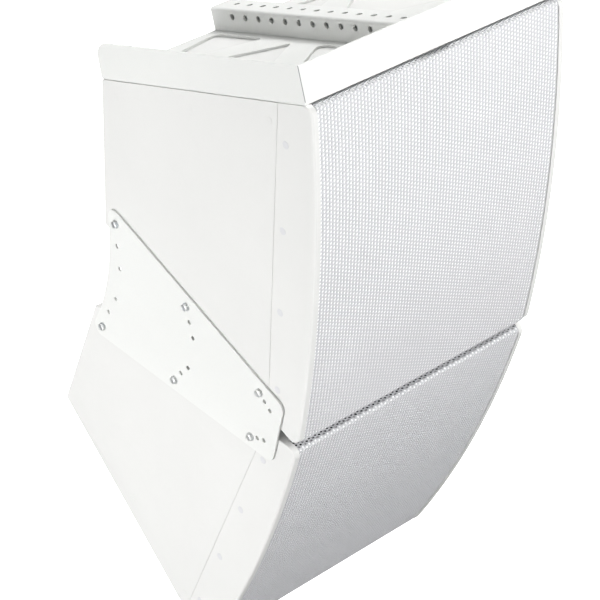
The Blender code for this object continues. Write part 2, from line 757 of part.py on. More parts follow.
def add_fly_beam(frame):
    """Inverted channel with a row of pick-up holes in its top and in each side."""
    low = TRAY_SEAT + TRAY_SHEET + GAP
    front = TRAY_FRONT + TRAY_BEND + FIT

    def is_top_edge(middle):
        return abs(middle.z - BEAM_TOP) < 0.0001 and abs(middle.x) > 0.01

    mesh = box_mesh(
        "beam", (-BEAM_HALF_WIDTH, front, low), (BEAM_HALF_WIDTH, BEAM_REAR, BEAM_TOP),
        is_top_edge, BEAM_BEND, 3,
    )
    beam = add_part("fly_beam", mesh, SHEET_WHITE, frame)
    inner = BEAM_HALF_WIDTH - BEAM_SHEET
    low_corner = (-inner, front - BEYOND, low - BEYOND)
    room = box_mesh("beam", low_corner, (inner, BEAM_REAR + BEYOND, BEAM_TOP - BEAM_SHEET))
    boolean(beam, add_cutter("beam_room_cut", [room], frame))
    holes = []
    for index in range(BEAM_HOLES):
        s = BEAM_HOLE_LAST - BEAM_PITCH * index
        drill = (0, s, BEAM_TOP - BEAM_SHEET - 0.002)
        holes.append(rod_mesh("hole", drill, (0, s, BEAM_TOP + BEYOND), BEAM_HOLE, HOLE_SIDES))
        side_s = s - BEAM_SIDE_OFFSET
        ends = [(x, side_s, BEAM_SIDE_HOLE_HEIGHT) for x in (-0.05, 0.05)]
        holes.append(rod_mesh("hole", *ends, BEAM_HOLE, HOLE_SIDES))
    boolean(beam, add_cutter("beam_hole_cut", holes, frame))


def bolt_mesh(shank_length):
    """Hex head on a washer, its shank pointing down -Z from the washer's seat at 0."""
    head = rod_mesh("bolt", (0, 0, 0.0010), (0, 0, WASHER_THICKNESS + HEX_HEIGHT), HEX_CORNER, 6)
    bolt = add_part("bolt_pattern", head, ZINC, None)
    washer = rod_mesh("bolt", (0, 0, 0), (0, 0, WASHER_THICKNESS), WASHER, 12)
    shank = rod_mesh("bolt", (0, 0, -shank_length), (0, 0, 0.0005), SHANK, HOLE_SIDES)
    for name, mesh in (("washer", washer), ("shank", shank)):
        boolean(bolt, add_cutter(f"bolt_{name}", [mesh], None), "UNION")
    baked = baked_mesh(bolt)
    bpy.data.objects.remove(bolt)
    return baked


def add_frame_bolts(frame):
    mesh = bolt_mesh(0.022)
    places = [(x, s) for s in FRAME_BOLT_S for x in (-FRAME_BOLT_X, FRAME_BOLT_X)]
    for number, (x, s) in enumerate(places, 1):
        seat = Matrix.Translation((x, s, TRAY_SEAT + TRAY_SHEET + GAP))
        add_part(f"frame_bolt_{number}", mesh.copy(), ZINC, frame, seat)


def plate_outline():
    """Mirror-symmetric outline: sloped long edges, straight front, hollow rear edge."""
    bolts, _ = link_holes()
    (front_y, front_z), (rear_y, rear_z) = bolts[0], bolts[2]
    slope = (rear_z - front_z) / (rear_y - front_y)
    lift = PLATE_MARGIN * math.hypot(1, slope)

    def upper_edge(y):
        return front_z + slope * (y - front_y) + lift

    centre = PLATE_WAIST + PLATE_WAIST_RADIUS

    def rear_edge(z):
        return centre - math.sqrt(PLATE_WAIST_RADIUS ** 2 - z ** 2)

    tip = PLATE_WAIST
    for _ in range(20):
        tip = rear_edge(upper_edge(tip))
    heights = [0.105, 0.07, 0.035, 0.0, -0.035, -0.07, -0.105]
    corners = [(PLATE_FRONT, -upper_edge(PLATE_FRONT), PLATE_CORNER)]
    corners += [(PLATE_FRONT, upper_edge(PLATE_FRONT), PLATE_CORNER)]
    corners += [(tip, upper_edge(tip), PLATE_CORNER)]
    corners += [(rear_edge(z), z, 0) for z in heights]
    corners += [(tip, -upper_edge(tip), PLATE_CORNER)]
    return rounded(corners, 5)


def add_links(frame):
    """A link plate and six bolts on each side."""
    bolts, spares = link_holes()
    loops = [plate_outline()] + [circle(y, z, BOLT_HOLE, HOLE_SIDES) for y, z in bolts + spares]
    bolt = bolt_mesh(PLATE_THICKNESS + WALL)
    for side, name in ((-1, "left"), (1, "right")):
        near, far = side * (HALF_WIDTH + GAP), side * (HALF_WIDTH + GAP + PLATE_THICKNESS)
        mesh = outline_mesh("plate", loops, min(near, far), max(near, far), SIDE_PLANE)
        add_part(f"link_plate_{name}", mesh, SHEET_WHITE, frame)
        outward = Matrix.Rotation(side * math.pi / 2, 4, "Y")
        for number, (y, z) in enumerate(bolts, 1):
            seat = Matrix.Translation((far + side * GAP, y, z)) @ outward
            add_part(f"link_bolt_{name}_{number}", bolt.copy(), ZINC, frame, seat)


def main():
    hang_s = BEAM_HOLE_LAST - BEAM_PITCH * 5.5
    hang = Vector((0, *frame_to_cabinet(hang_s, BEAM_TOP)))
    centre = Vector((0, splay_centre(), 0))
    half = SPLAY / 2
    to_origin = Matrix.Translation(-hang)
    turn = Matrix.Translation(centre) @ Matrix.Rotation(SPLAY, 4, "X") @ Matrix.Translation(-centre)
    upper = new_empty("upper_cabinet_frame", to_origin)
    lower = new_empty("lower_cabinet_frame", to_origin @ turn)
    top_edge = Matrix.Translation((0, 0, HALF_FRONT)) @ Matrix.Rotation(-TAPER, 4, "X")
    fly = new_empty("fly_frame_frame", to_origin @ top_edge)
    middle = Matrix.Translation((0, 0, -centre.y * math.tan(half))) @ Matrix.Rotation(half, 4, "X")
    link = new_empty("link_frame", to_origin @ middle)
    add_fly_frame(fly)
    add_fly_beam(fly)
    add_frame_bolts(fly)
    add_links(link)
    add_cabinet("upper", upper)
    add_cabinet("lower", lower)


clear_scene()
PARTS = new_collection("line_array_speaker")
CUTTERS = new_collection("cutters")
main()
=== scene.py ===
"""Line array speaker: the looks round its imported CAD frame.

Metres, +Z up, cabinets facing -Y, left side at -X. The origin is on top of the fly beam.
"""

import json
import math

import bmesh
import bpy
import numpy as np
from mathutils import Matrix, Vector


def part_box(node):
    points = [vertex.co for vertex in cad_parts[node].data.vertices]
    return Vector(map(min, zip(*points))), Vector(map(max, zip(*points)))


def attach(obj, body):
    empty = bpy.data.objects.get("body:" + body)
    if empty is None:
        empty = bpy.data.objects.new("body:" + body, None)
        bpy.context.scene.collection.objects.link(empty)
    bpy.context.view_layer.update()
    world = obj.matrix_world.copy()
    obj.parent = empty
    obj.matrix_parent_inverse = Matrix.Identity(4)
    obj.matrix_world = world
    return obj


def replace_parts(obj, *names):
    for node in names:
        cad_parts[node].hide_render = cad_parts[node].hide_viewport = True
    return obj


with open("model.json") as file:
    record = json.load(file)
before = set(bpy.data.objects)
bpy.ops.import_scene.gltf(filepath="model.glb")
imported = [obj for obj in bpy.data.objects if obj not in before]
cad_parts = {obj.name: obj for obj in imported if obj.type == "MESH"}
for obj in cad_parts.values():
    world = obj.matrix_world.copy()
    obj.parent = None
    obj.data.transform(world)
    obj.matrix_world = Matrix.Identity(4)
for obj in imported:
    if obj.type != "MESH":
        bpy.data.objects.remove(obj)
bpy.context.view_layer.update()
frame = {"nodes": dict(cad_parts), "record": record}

# Sizes that the CAD shares, and edge radii that only the looks have
TAPER = math.radians(20.0)
SPLAY = math.radians(20.0)
FRONT_HEIGHT = 0.8026
FRONT_BULGE = 0.0274
CHEEK_BACK = 0.0893
CHEEK_THICKNESS = 0.015
CHEEK_CORNER = 0.020
CHEEK_EDGE = 0.005
CHEEK_SIDE_EDGE = 0.0016
CHEEK_SINK = 0.0007
CHEEK_JOINT = 0.00005
CHEEK_INNER_EDGE = 0.0005
CHEEK_BACK_EDGE = 0.0006
DEPTH = 0.618
FRONT_GAP = 0.0128
RIG_FIRST = 0.1323
RIG_STEP = 0.2464
RIG_INSET = 0.0371
ANGLE_STEP = math.radians(5.0)
ANGLE_PIVOT = (-0.063, -0.148)
PLATE_THICKNESS = 0.005
PLATE_MARGIN = 0.0285
PLATE_FRONT = 0.0535
PLATE_WAIST = 0.6168
PLATE_WAIST_RADIUS = 0.621
PLATE_CORNER = 0.022
PLATE_WAIST_REACH = 0.115
PLATE_EDGE = 0.0006
BOLT_HOLE = 0.00515
FRAME_BOLT_X = 0.313
FRAME_BOLT_S = (0.125, 0.560)
FRAME_BOLT_SEAT = 0.0055
TRAY_HALF_WIDTH = 0.3428
TRAY_FRONT = 0.0085
TRAY_HEIGHT = 0.080
SEAM_FOOT = 0.009
SEAM_RADIUS = 0.0010
SEAM_INSET = 0.0005
BEAM_REAR = 0.6635
CAP_HALF_WIDTH = 0.0257
CAP_HEIGHTS = (0.0060, 0.0492)
CAP_DEPTHS = (0.0025, 0.0065)
CAP_EDGE = 0.0005
PANEL_HALF = (0.0995, 0.0595)
PANEL_THICKNESS = 0.003
PANEL_CORNER = 0.003
PANEL_EDGE = 0.0004
PANEL_SCREW_INSET = 0.007
SOCKET_X = 0.035
SOCKET_HOLE = 0.0120
GAP = 0.0003

# Grille
GRILLE_INSET = 0.003
GRILLE_EDGE = 0.0035
GRILLE_SHEET = 0.0012
GRILLE_BENDS = (0.004, 0.003)
GRILLE_CREASE_DROP = 0.0045
GRILLE_CREASE_BACK = 0.008
GRILLE_RETURN = 0.040
GRILLE_REACH = 0.3230
GRILLE_PANELS = 4
GRILLE_COLUMNS = 19
GRILLE_ROWS = 100
GRILLE_HOLE = 0.0030
GRILLE_SIDES = 12
GRILLE_JOIN = 0.00004
BACKING_GAP = 0.0002
BACKING_THICKNESS = 0.006
BACKING_LIP = 0.019

# Fasteners
HEX_APOTHEM = 0.00714
HEX_HEIGHT = 0.0060
WASHER = 0.0095
WASHER_THICKNESS = 0.0016
SHANK = 0.0047
LINK_SHANK_LENGTH = 0.023
FRAME_SHANK_LENGTH = 0.022
BOLT_SEGMENTS = 48
BOLT_EDGE = 0.0003
CHEEK_SCREW = 0.0083
CHEEK_SCREW_Y = 0.0647
CHEEK_SCREW_Z = (0.0964, 0.2893)
RIG_PLUG = 0.0080
PANEL_SCREW = 0.0034

# Edge radii of the steelwork and shells, and the shortest shell edge that is rounded
STEEL_EDGE = 0.0007
SHELL_EDGE = 0.0016
SHELL_EDGE_SHORTEST = 0.02

cheek_low, cheek_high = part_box("upper_cheek_left")
HALF_WIDTH = -cheek_low.x
HALF_FRONT = FRONT_HEIGHT / 2
FRONT_RADIUS = (HALF_FRONT ** 2 + FRONT_BULGE ** 2) / (2 * FRONT_BULGE)


# ---------------------------------------------------------------- frames of the parts

def splay_centre():
    """Depth of the point that the lower cabinet turns about, on both cabinets' mid-planes."""
    half = SPLAY / 2
    return (HALF_FRONT + FRONT_GAP / (2 * math.cos(half))) / math.tan(half)


CENTRE = Vector((0, splay_centre(), 0))
TO_WORLD = Matrix.Translation((0, cheek_high.y - CHEEK_BACK, (cheek_low.z + cheek_high.z) / 2))
TURN = Matrix.Translation(CENTRE) @ Matrix.Rotation(SPLAY, 4, "X") @ Matrix.Translation(-CENTRE)
CABINETS = {"upper": TO_WORLD, "lower": TO_WORLD @ TURN}
FLY = TO_WORLD @ Matrix.Translation((0, 0, HALF_FRONT)) @ Matrix.Rotation(-TAPER, 4, "X")
LINK = (
    TO_WORLD
    @ Matrix.Translation((0, 0, -CENTRE.y * math.tan(SPLAY / 2)))
    @ Matrix.Rotation(SPLAY / 2, 4, "X")
)
SIDE_PLANE = Matrix(((0, 0, 1, 0), (1, 0, 0, 0), (0, 1, 0, 0), (0, 0, 0, 1)))


def edge_height(y):
    return HALF_FRONT - y * math.tan(TAPER)


def rig_point(index):
    """(y, z) of a rigging point in the upper row of a cabinet, front to rear."""
    along = RIG_FIRST + RIG_STEP * index
    y = along * math.cos(TAPER) - RIG_INSET * math.sin(TAPER)
    return y, HALF_FRONT - along * math.sin(TAPER) - RIG_INSET * math.cos(TAPER)


def to_link(y, z):
    """Upper cabinet (y, z) to the link plate's frame."""
    half = SPLAY / 2
    z = z + CENTRE.y * math.tan(half)
    return y * math.cos(half) + z * math.sin(half), z * math.cos(half) - y * math.sin(half)


def link_holes():
    """The link plate's six bolt places and its twelve spare holes, in its own frame."""
    bolts, spares = [], []
    pivot_y, pivot_z = ANGLE_PIVOT
    for index in range(3):
        y, z = rig_point(index)
        bolts.append(to_link(y, -z))
        for turns in (1, 2):
            turn = -ANGLE_STEP * turns
            dy, dz = y - pivot_y, -z - pivot_z
            turned_y = pivot_y + dy * math.cos(turn) - dz * math.sin(turn)
            turned_z = pivot_z + dy * math.sin(turn) + dz * math.cos(turn)
            spares.append(to_link(turned_y, turned_z))
    bolts += [(y, -z) for y, z in bolts]
    spares += [(y, -z) for y, z in spares]
    return bolts, spares


def plate_outline():
    """Corners of the link plate as (y, z, radius)."""
    bolts, _ = link_holes()
    (front_y, front_z), (rear_y, rear_z) = bolts[0], bolts[2]
    slope = (rear_z - front_z) / (rear_y - front_y)
    lift = PLATE_MARGIN * math.hypot(1, slope)

    def upper_edge(y):
        return front_z + slope * (y - front_y) + lift

    centre = PLATE_WAIST + PLATE_WAIST_RADIUS

    def rear_edge(z):
        return centre - math.sqrt(PLATE_WAIST_RADIUS ** 2 - z ** 2)

    tip = PLATE_WAIST
    for _ in range(20):
        tip = rear_edge(upper_edge(tip))
    heights = np.linspace(PLATE_WAIST_REACH, -PLATE_WAIST_REACH, 16)
    corners = [(PLATE_FRONT, -upper_edge(PLATE_FRONT), PLATE_CORNER)]
    corners += [(PLATE_FRONT, upper_edge(PLATE_FRONT), PLATE_CORNER)]
    corners += [(tip, upper_edge(tip), PLATE_CORNER)]
    corners += [(rear_edge(z), z, 0) for z in heights]
    corners += [(tip, -upper_edge(tip), PLATE_CORNER)]
    return corners


# ---------------------------------------------------------------- materials

class Tree:
    """A material's node tree, with short calls for the nodes that the finishes share."""

    def __init__(self, name):
        self.material = bpy.data.materials.new(name)
        self.material.use_nodes = True
        self.nodes = self.material.node_tree.nodes
        self.links = self.material.node_tree.links
        self.shader = self.nodes["Principled BSDF"]
        self.place = self.node("ShaderNodeTexCoord").outputs["Object"]

    def node(self, kind, settings=None, **inputs):
        made = self.nodes.new(kind)
        for name, value in (settings or {}).items():
            setattr(made, name, value)
        for name, value in inputs.items():
            self.put(made.inputs[name.replace("_", " ")], value)
        return made

    def put(self, socket, value):
        if isinstance(value, bpy.types.NodeSocket):
            self.links.new(value, socket)
        elif isinstance(value, tuple) and len(value) == 3 and socket.type == "RGBA":
            socket.default_value = (*value, 1.0)
        else:
            socket.default_value = value

    def noise(self, scale, detail=2.0, rough=0.5, place=None, warp=0.0):
        place = place or self.place
        made = self.node("ShaderNodeTexNoise", Vector=place, Scale=scale, Detail=detail)
        made.inputs["Roughness"].default_value = rough
        made.inputs["Distortion"].default_value = warp
        return made.outputs["Fac"]

    def stretch(self, scale):
        """The object's own place, scaled apart on each axis."""
        return self.node("ShaderNodeMapping", Vector=self.place, Scale=scale).outputs["Vector"]

    def span(self, value, low, high, to_low, to_high):
        made = self.node("ShaderNodeMapRange", Value=value)
        names = ("From Min", "From Max", "To Min", "To Max")
        for name, number in zip(names, (low, high, to_low, to_high)):
            made.inputs[name].default_value = number
        return made.outputs["Result"]

    def maths(self, operation, first, second):
        made = self.node("ShaderNodeMath", {"operation": operation})
        self.put(made.inputs[0], first)
        self.put(made.inputs[1], second)
        return made.outputs[0]

    def mix(self, share, first, second, blend="MIX"):
        made = self.node("ShaderNodeMix", {"data_type": "RGBA", "blend_type": blend})
        self.put(made.inputs[0], share)
        self.put(made.inputs[6], first)
        self.put(made.inputs[7], second)
        return made.outputs[2]

    def bump(self, height, distance, strength=1.0, normal=None):
        made = self.node("ShaderNodeBump", Height=height, Distance=distance, Strength=strength)
        if normal is not None:
            self.put(made.inputs["Normal"], normal)
        return made.outputs["Normal"]

    def edges(self, radius, low=0.03, high=0.45):
        """1 on convex and concave edges within the radius, 0 on flat faces."""
        soft = self.node("ShaderNodeBevel", {"samples": 4}, Radius=radius).outputs["Normal"]
        true = self.node("ShaderNodeNewGeometry").outputs["Normal"]
        dot = self.node("ShaderNodeVectorMath", {"operation": "DOT_PRODUCT"})
        self.put(dot.inputs[0], soft)
        self.put(dot.inputs[1], true)
        return self.span(self.maths("SUBTRACT", 1.0, dot.outputs["Value"]), low, high, 0.0, 1.0)

    def finish(self, colour, rough, normal, metallic=0.0, **constants):
        self.put(self.shader.inputs["Base Color"], colour)
        self.put(self.shader.inputs["Roughness"], rough)
        self.put(self.shader.inputs["Metallic"], metallic)
        self.put(self.shader.inputs["Normal"], normal)
        for name, value in constants.items():
            self.shader.inputs[name.replace("_", " ")].default_value = value
        return self.material


def shaded(colour, factor):
    return tuple(min(1.0, c * factor) for c in colour)


def paint(name, colour, rough, grain, relief, edge_wear_and_highlight=1.04, edge=0.0015, gloss=0.5):
    """Sprayed paint: a grain with orange peel, mottling, dust, and lighter edges that are partly
    paint worn thin and partly a painted highlight.
    """
    tree = Tree(name)
    fine = tree.noise(grain, 3.0, 0.6)
    peel = tree.noise(grain * 0.22, 2.0, 0.5)
    cloud = tree.noise(3.5, 3.0, 0.55)
    smudge = tree.noise(22.0, 4.0, 0.65, warp=0.6)
    share = tree.span(cloud, 0.3, 0.7, 0.0, 1.0)
    tone = tree.mix(share, shaded(colour, 0.975), shaded(colour, 1.01))
    tone = tree.mix(tree.span(fine, 0.35, 0.75, 0.0, 0.35), tone, shaded(colour, 0.90))
    tone = tree.mix(tree.span(smudge, 0.55, 0.8, 0.0, 0.30), tone, shaded(colour, 0.955))
    # Lighter edges: partly paint worn thin, partly a painted highlight where the edges catch the
    # light.
    rim = tree.edges(edge)
    tone = tree.mix(tree.maths("MULTIPLY", rim, 0.6), tone, shaded(colour, edge_wear_and_highlight))
    shine = tree.span(smudge, 0.3, 0.75, rough - 0.05, rough + 0.08)
    shine = tree.maths("SUBTRACT", shine, tree.maths("MULTIPLY", rim, 0.08))
    height = tree.maths("ADD", tree.maths("MULTIPLY", fine, 0.45), peel)
    return tree.finish(tone, shine, tree.bump(height, relief), Specular_IOR_Level=gloss)


def brushed(name, colour, rough, tint, stretch=(60.0, 900.0, 900.0), relief=0.00002, edge=0.0008):
    """Bare or plated metal with fine drawn lines, a tint that drifts, and brighter edges painted on
    as a highlight.
    """
    tree = Tree(name)
    lines = tree.noise(1.0, 3.0, 0.6, place=tree.stretch(stretch))
    cloud = tree.noise(45.0, 3.0, 0.6, warp=0.4)
    pits = tree.noise(600.0, 2.0, 0.5)
    tone = tree.mix(tree.span(cloud, 0.3, 0.7, 0.0, 1.0), colour, tint)
    tone = tree.mix(tree.span(lines, 0.35, 0.7, 0.0, 0.35), tone, shaded(colour, 0.72))
    # Brighter edges: a painted highlight in the base colour.
    rim = tree.edges(edge)
    tone = tree.mix(tree.maths("MULTIPLY", rim, 0.5), tone, shaded(colour, 1.25))
    shine = tree.span(tree.maths("ADD", lines, cloud), 0.6, 1.4, rough - 0.07, rough + 0.10)
    height = tree.maths("ADD", lines, tree.maths("MULTIPLY", pits, 0.5))
    return tree.finish(tone, shine, tree.bump(height, relief), metallic=1.0)


def moulded(name, colour, rough, grain=450.0, relief=0.00004, flow=(4.0, 4.0, 14.0)):
    """Moulded plastic or coated casting: grain, flow streaks, and edges that are smoother and
    lighter, the lighter colour a painted highlight.
    """
    tree = Tree(name)
    cells = tree.node(
        "ShaderNodeTexVoronoi", {"feature": "SMOOTH_F1"}, Vector=tree.place, Scale=grain
    )
    streak = tree.noise(1.0, 3.0, 0.6, place=tree.stretch(flow), warp=0.5)
    dust = tree.noise(120.0, 4.0, 0.7)
    tone = tree.mix(tree.span(streak, 0.3, 0.7, 0.0, 1.0), shaded(colour, 0.8), shaded(colour, 1.3))
    tone = tree.mix(tree.span(dust, 0.55, 0.8, 0.0, 0.25), tone, (0.22, 0.22, 0.21))
    # Edges lighter in colour: a painted highlight. Their lower roughness stands for the rubbing.
    rim = tree.edges(0.0012)
    tone = tree.mix(tree.maths("MULTIPLY", rim, 0.5), tone, shaded(colour, 2.2))
    shine = tree.span(streak, 0.3, 0.7, rough - 0.06, rough + 0.06)
    shine = tree.maths("SUBTRACT", shine, tree.maths("MULTIPLY", rim, 0.12))
    return tree.finish(tone, shine, tree.bump(cells.outputs["Distance"], relief))


def fibrous(name, colour, rough, fibre=(900.0, 900.0, 120.0), relief=0.00010, sheen=0.0):
    """Pressed paper or cloth: crossed fibres with lint between them."""
    tree = Tree(name)
    along = tree.noise(1.0, 3.0, 0.65, place=tree.stretch(fibre))
    across = tree.noise(1.0, 3.0, 0.65, place=tree.stretch(fibre[::-1]), warp=0.3)
    cloud = tree.noise(14.0, 3.0, 0.6)
    weave = tree.maths("ADD", along, across)
    share = tree.span(weave, 0.75, 1.25, 0.0, 1.0)
    tone = tree.mix(share, shaded(colour, 0.78), shaded(colour, 1.18))
    tone = tree.mix(tree.span(cloud, 0.35, 0.7, 0.0, 0.3), tone, shaded(colour, 0.88))
    rim = tree.edges(0.001)
    shine = tree.span(weave, 0.75, 1.25, rough + 0.05, rough - 0.06)
    shine = tree.maths("SUBTRACT", shine, tree.maths("MULTIPLY", rim, 0.05))
    return tree.finish(tone, shine, tree.bump(weave, relief), Sheen_Weight=sheen)


def foam_cloth(name, colour):
    """Acoustic foam faced with an open cloth: cells, a fine weave and soft lint."""
    tree = Tree(name)
    cells = tree.node("ShaderNodeTexVoronoi", {"feature": "F1"}, Vector=tree.place, Scale=650.0)
    lint = tree.noise(260.0, 4.0, 0.7)
    cloud = tree.noise(6.0, 3.0, 0.6)
    pores = cells.outputs["Distance"]
    share = tree.span(pores, 0.15, 0.6, 0.0, 1.0)
    tone = tree.mix(share, shaded(colour, 0.82), shaded(colour, 1.06))
    tone = tree.mix(tree.span(lint, 0.5, 0.8, 0.0, 0.4), tone, shaded(colour, 1.1))
    tone = tree.mix(tree.span(cloud, 0.35, 0.65, 0.0, 0.35), tone, shaded(colour, 0.93))
    rough = tree.span(tree.maths("ADD", lint, tree.edges(0.001)), 0.3, 1.2, 0.98, 0.86)
    return tree.finish(tone, rough, tree.bump(pores, 0.0002), Sheen_Weight=0.15)


def plywood(name, pale, dark):
    """Birch plywood: long grain on the faces and its plies on cut edges."""
    tree = Tree(name)
    grain = tree.noise(1.0, 4.0, 0.6, place=tree.stretch((6.0, 60.0, 110.0)), warp=1.2)
    pores = tree.noise(1.0, 2.0, 0.6, place=tree.stretch((60.0, 600.0, 900.0)))
    layers = tree.node(
        "ShaderNodeTexWave", {"bands_direction": "Y"}, Vector=tree.place, Scale=115.0
    )
    layers.inputs["Distortion"].default_value = 0.4
    tone = tree.mix(tree.span(grain, 0.3, 0.7, 0.0, 1.0), pale, dark)
    tone = tree.mix(tree.span(pores, 0.55, 0.75, 0.0, 0.4), tone, shaded(dark, 0.7))
    rim = tree.edges(0.002)
    plies = tree.maths("MULTIPLY", tree.maths("MULTIPLY", rim, layers.outputs["Fac"]), 0.8)
    tone = tree.mix(plies, tone, shaded(dark, 0.6))
    rough = tree.span(grain, 0.3, 0.7, 0.62, 0.78)
    return tree.finish(tone, rough, tree.bump(tree.maths("ADD", grain, pores), 0.0001))


def circuit_board(name):
    """Green board: straight tracks under the mask, bare pads and flux stains."""
    tree = Tree(name)
    tracks = tree.node(
        "ShaderNodeTexVoronoi", {"feature": "DISTANCE_TO_EDGE"}, Vector=tree.place, Scale=120.0
    )
    pads = tree.node("ShaderNodeTexVoronoi", Vector=tree.place, Scale=150.0)
    stain = tree.noise(40.0, 4.0, 0.6)
    copper = tree.span(tracks.outputs["Distance"], 0.04, 0.07, 1.0, 0.0)
    dot = tree.span(pads.outputs["Distance"], 0.16, 0.20, 1.0, 0.0)
    tone = tree.mix(copper, (0.02, 0.15, 0.06), (0.05, 0.30, 0.12))
    tone = tree.mix(dot, tone, (0.62, 0.58, 0.48))
    tone = tree.mix(tree.span(stain, 0.5, 0.75, 0.0, 0.4), tone, (0.03, 0.10, 0.05))
    rough = tree.span(stain, 0.3, 0.7, 0.32, 0.5)
    raised = tree.maths("ADD", dot, tree.edges(0.001))
    height = tree.maths("ADD", tree.maths("MULTIPLY", copper, 0.4), raised)
    return tree.finish(tone, rough, tree.bump(height, 0.00006))


# Paint tones, matched to the photo's greys under the studio lights
PAINT_WHITE = (0.695, 0.696, 0.682)
SHEET_WHITE = (0.745, 0.753, 0.735)
# The grille sheet is greyer than the other whites: partly its own grey-lavender tone, partly
# painted shade standing in for the shade round its holes.
GRILLE_GREY_WITH_SHADE = (0.590, 0.595, 0.613)
FINISHES = {
    "cabinet_paint": paint("cabinet_paint", PAINT_WHITE, 0.58, 780.0, 0.00012, 1.05, gloss=0.4),
    "sheet_steel": paint("sheet_steel", SHEET_WHITE, 0.38, 420.0, 0.00002, 1.02, 0.001),
    "grille_steel": paint("grille_steel", GRILLE_GREY_WITH_SHADE, 0.42, 520.0, 0.000015, 1.03, 0.0004),
    "foam": foam_cloth("foam", (0.97, 0.972, 0.978)),
    "zinc": brushed("zinc", (0.84, 0.84, 0.81), 0.36, (0.76, 0.80, 0.85), (700.0, 700.0, 700.0)),
    "black_paint": paint("black_paint", (0.030, 0.030, 0.032), 0.60, 500.0, 0.00008, 3.0, 0.002),
    "black_plastic": moulded("black_plastic", (0.028, 0.028, 0.030), 0.48),
    "driver_metal": moulded(
        "driver_metal", (0.070, 0.070, 0.076), 0.42, 900.0, 0.00003, (20.0, 20.0, 20.0)
    ),
    "cast_frame": moulded(
        "cast_frame", (0.055, 0.055, 0.057), 0.52, 1400.0, 0.00005, (9.0, 9.0, 9.0)
    ),
    "titanium": brushed(
        "titanium", (0.55, 0.53, 0.50), 0.28, (0.50, 0.48, 0.52), (400.0, 400.0, 400.0)
    ),
    "cone_paper": fibrous("cone_paper", (0.060, 0.060, 0.064), 0.80),
    "surround_rubber": moulded("surround_rubber", (0.026, 0.026, 0.027), 0.68, 1100.0, 0.00002),
    "plywood": plywood("plywood", (0.66, 0.50, 0.32), (0.52, 0.37, 0.21)),
    "circuit_board": circuit_board("circuit_board"),
    "panel_metal": paint("panel_metal", (0.80, 0.80, 0.79), 0.42, 500.0, 0.00003, 1.04, 0.001),
}
SCREW_GREY = paint("screw_grey", (0.628, 0.630, 0.644), 0.55, 900.0, 0.00002, 1.03, 0.0005)
WELD_GREY = paint("weld_grey", (0.30, 0.30, 0.30), 0.45, 900.0, 0.00003, 1.05, 0.0005)
# Hole walls darker than the sheet: partly the bare punched edge, partly painted shade that gives
# each hole a dark crescent.
HOLE_WALL_SHADE = paint("hole_wall_shade", (0.45, 0.45, 0.46), 0.60, 900.0, 0.00001, 1.0, 0.0002)


def dress_cad_nodes():
    """Every CAD node gets the finish that the record names for it."""
    for row in frame["record"]["subparts"]:
        node = frame["nodes"][row["node"]]
        node.data.materials.clear()
        node.data.materials.append(FINISHES[row["material_slot"]])


# ---------------------------------------------------------------- pieces and meshes

def add_piece(name, mesh, slot, matrix=None, body="array", finish=None):
    """A named piece in the row frame, riding on a body, with a slot's finish."""
    piece = bpy.data.objects.new(name, mesh)
    bpy.context.scene.collection.objects.link(piece)
    if matrix is not None:
        piece.matrix_world = matrix
    piece.data.materials.clear()
    piece.data.materials.append(finish or FINISHES[slot])
    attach(piece, body)
    return piece


def weight_normals(piece):
    """Flat faces keep their own normal, so that the rounded edges alone take the light."""
    weighted = piece.modifiers.new("Normals", "WEIGHTED_NORMAL")
    weighted.keep_sharp = True
    weighted.weight = 80
    return piece


def smooth(mesh, angle=38.0):
    mesh.shade_smooth()
    mesh.set_sharp_from_angle(angle=math.radians(angle))
    return mesh


def rounded(corners, steps=8):
    """An outline from (x, y, radius) corners, each radius drawn as an arc."""
    outline = []
    count = len(corners)
    for i, (x, y, radius) in enumerate(corners):
        here = Vector((x, y))
        if radius == 0:
            outline.append(here)
            continue
        to_last = (Vector(corners[i - 1][:2]) - here).normalized()
        to_next = (Vector(corners[(i + 1) % count][:2]) - here).normalized()
        half = to_last.angle(to_next) / 2
        centre = here + (to_last + to_next).normalized() * (radius / math.sin(half))
        start = here + to_last * (radius / math.tan(half)) - centre
        bend = math.pi - 2 * half
        if to_last.x * to_next.y - to_last.y * to_next.x > 0:
            bend = -bend
        for step in range(steps + 1):
            turn = bend * step / steps
            c, s = math.cos(turn), math.sin(turn)
            outline.append(centre + Vector((start.x * c - start.y * s, start.x * s + start.y * c)))
    return outline


def circle(x, y, radius, segments=32):
    turns = [2 * math.pi * i / segments for i in range(segments)]
    return [Vector((x + radius * math.cos(t), y + radius * math.sin(t))) for t in turns]


def plate_mesh(name, loops, low, high, plane, edge):
    """A flat plate with holes, its edges and hole rims rounded by edge."""
    curve = bpy.data.curves.new(name, "CURVE")
    curve.dimensions = "2D"
    curve.fill_mode = "BOTH"
    curve.extrude = (high - low) / 2 - edge
    curve.bevel_depth = edge
    curve.bevel_resolution = 2
    curve.offset = -edge
    for loop in loops:
        spline = curve.splines.new("POLY")
        spline.points.add(len(loop) - 1)
        for point, (x, y) in zip(spline.points, loop):
            point.co = (x, y, 0.0, 1.0)
        spline.use_cyclic_u = True
    guide = bpy.data.objects.new(name, curve)
    bpy.context.scene.collection.objects.link(guide)
    bpy.context.view_layer.update()
    evaluated = guide.evaluated_get(bpy.context.evaluated_depsgraph_get())
    mesh = bpy.data.meshes.new_from_object(evaluated)
    bpy.data.objects.remove(guide)
    solid = bmesh.new()
    solid.from_mesh(mesh)
    bmesh.ops.remove_doubles(solid, verts=solid.verts, dist=0.000005)
    bmesh.ops.translate(solid, verts=solid.verts, vec=(0, 0, (low + high) / 2))
    bmesh.ops.transform(solid, verts=solid.verts, matrix=plane)
    bmesh.ops.recalc_face_normals(solid, faces=solid.faces)
    solid.to_mesh(mesh)
    solid.free()
    return smooth(mesh)


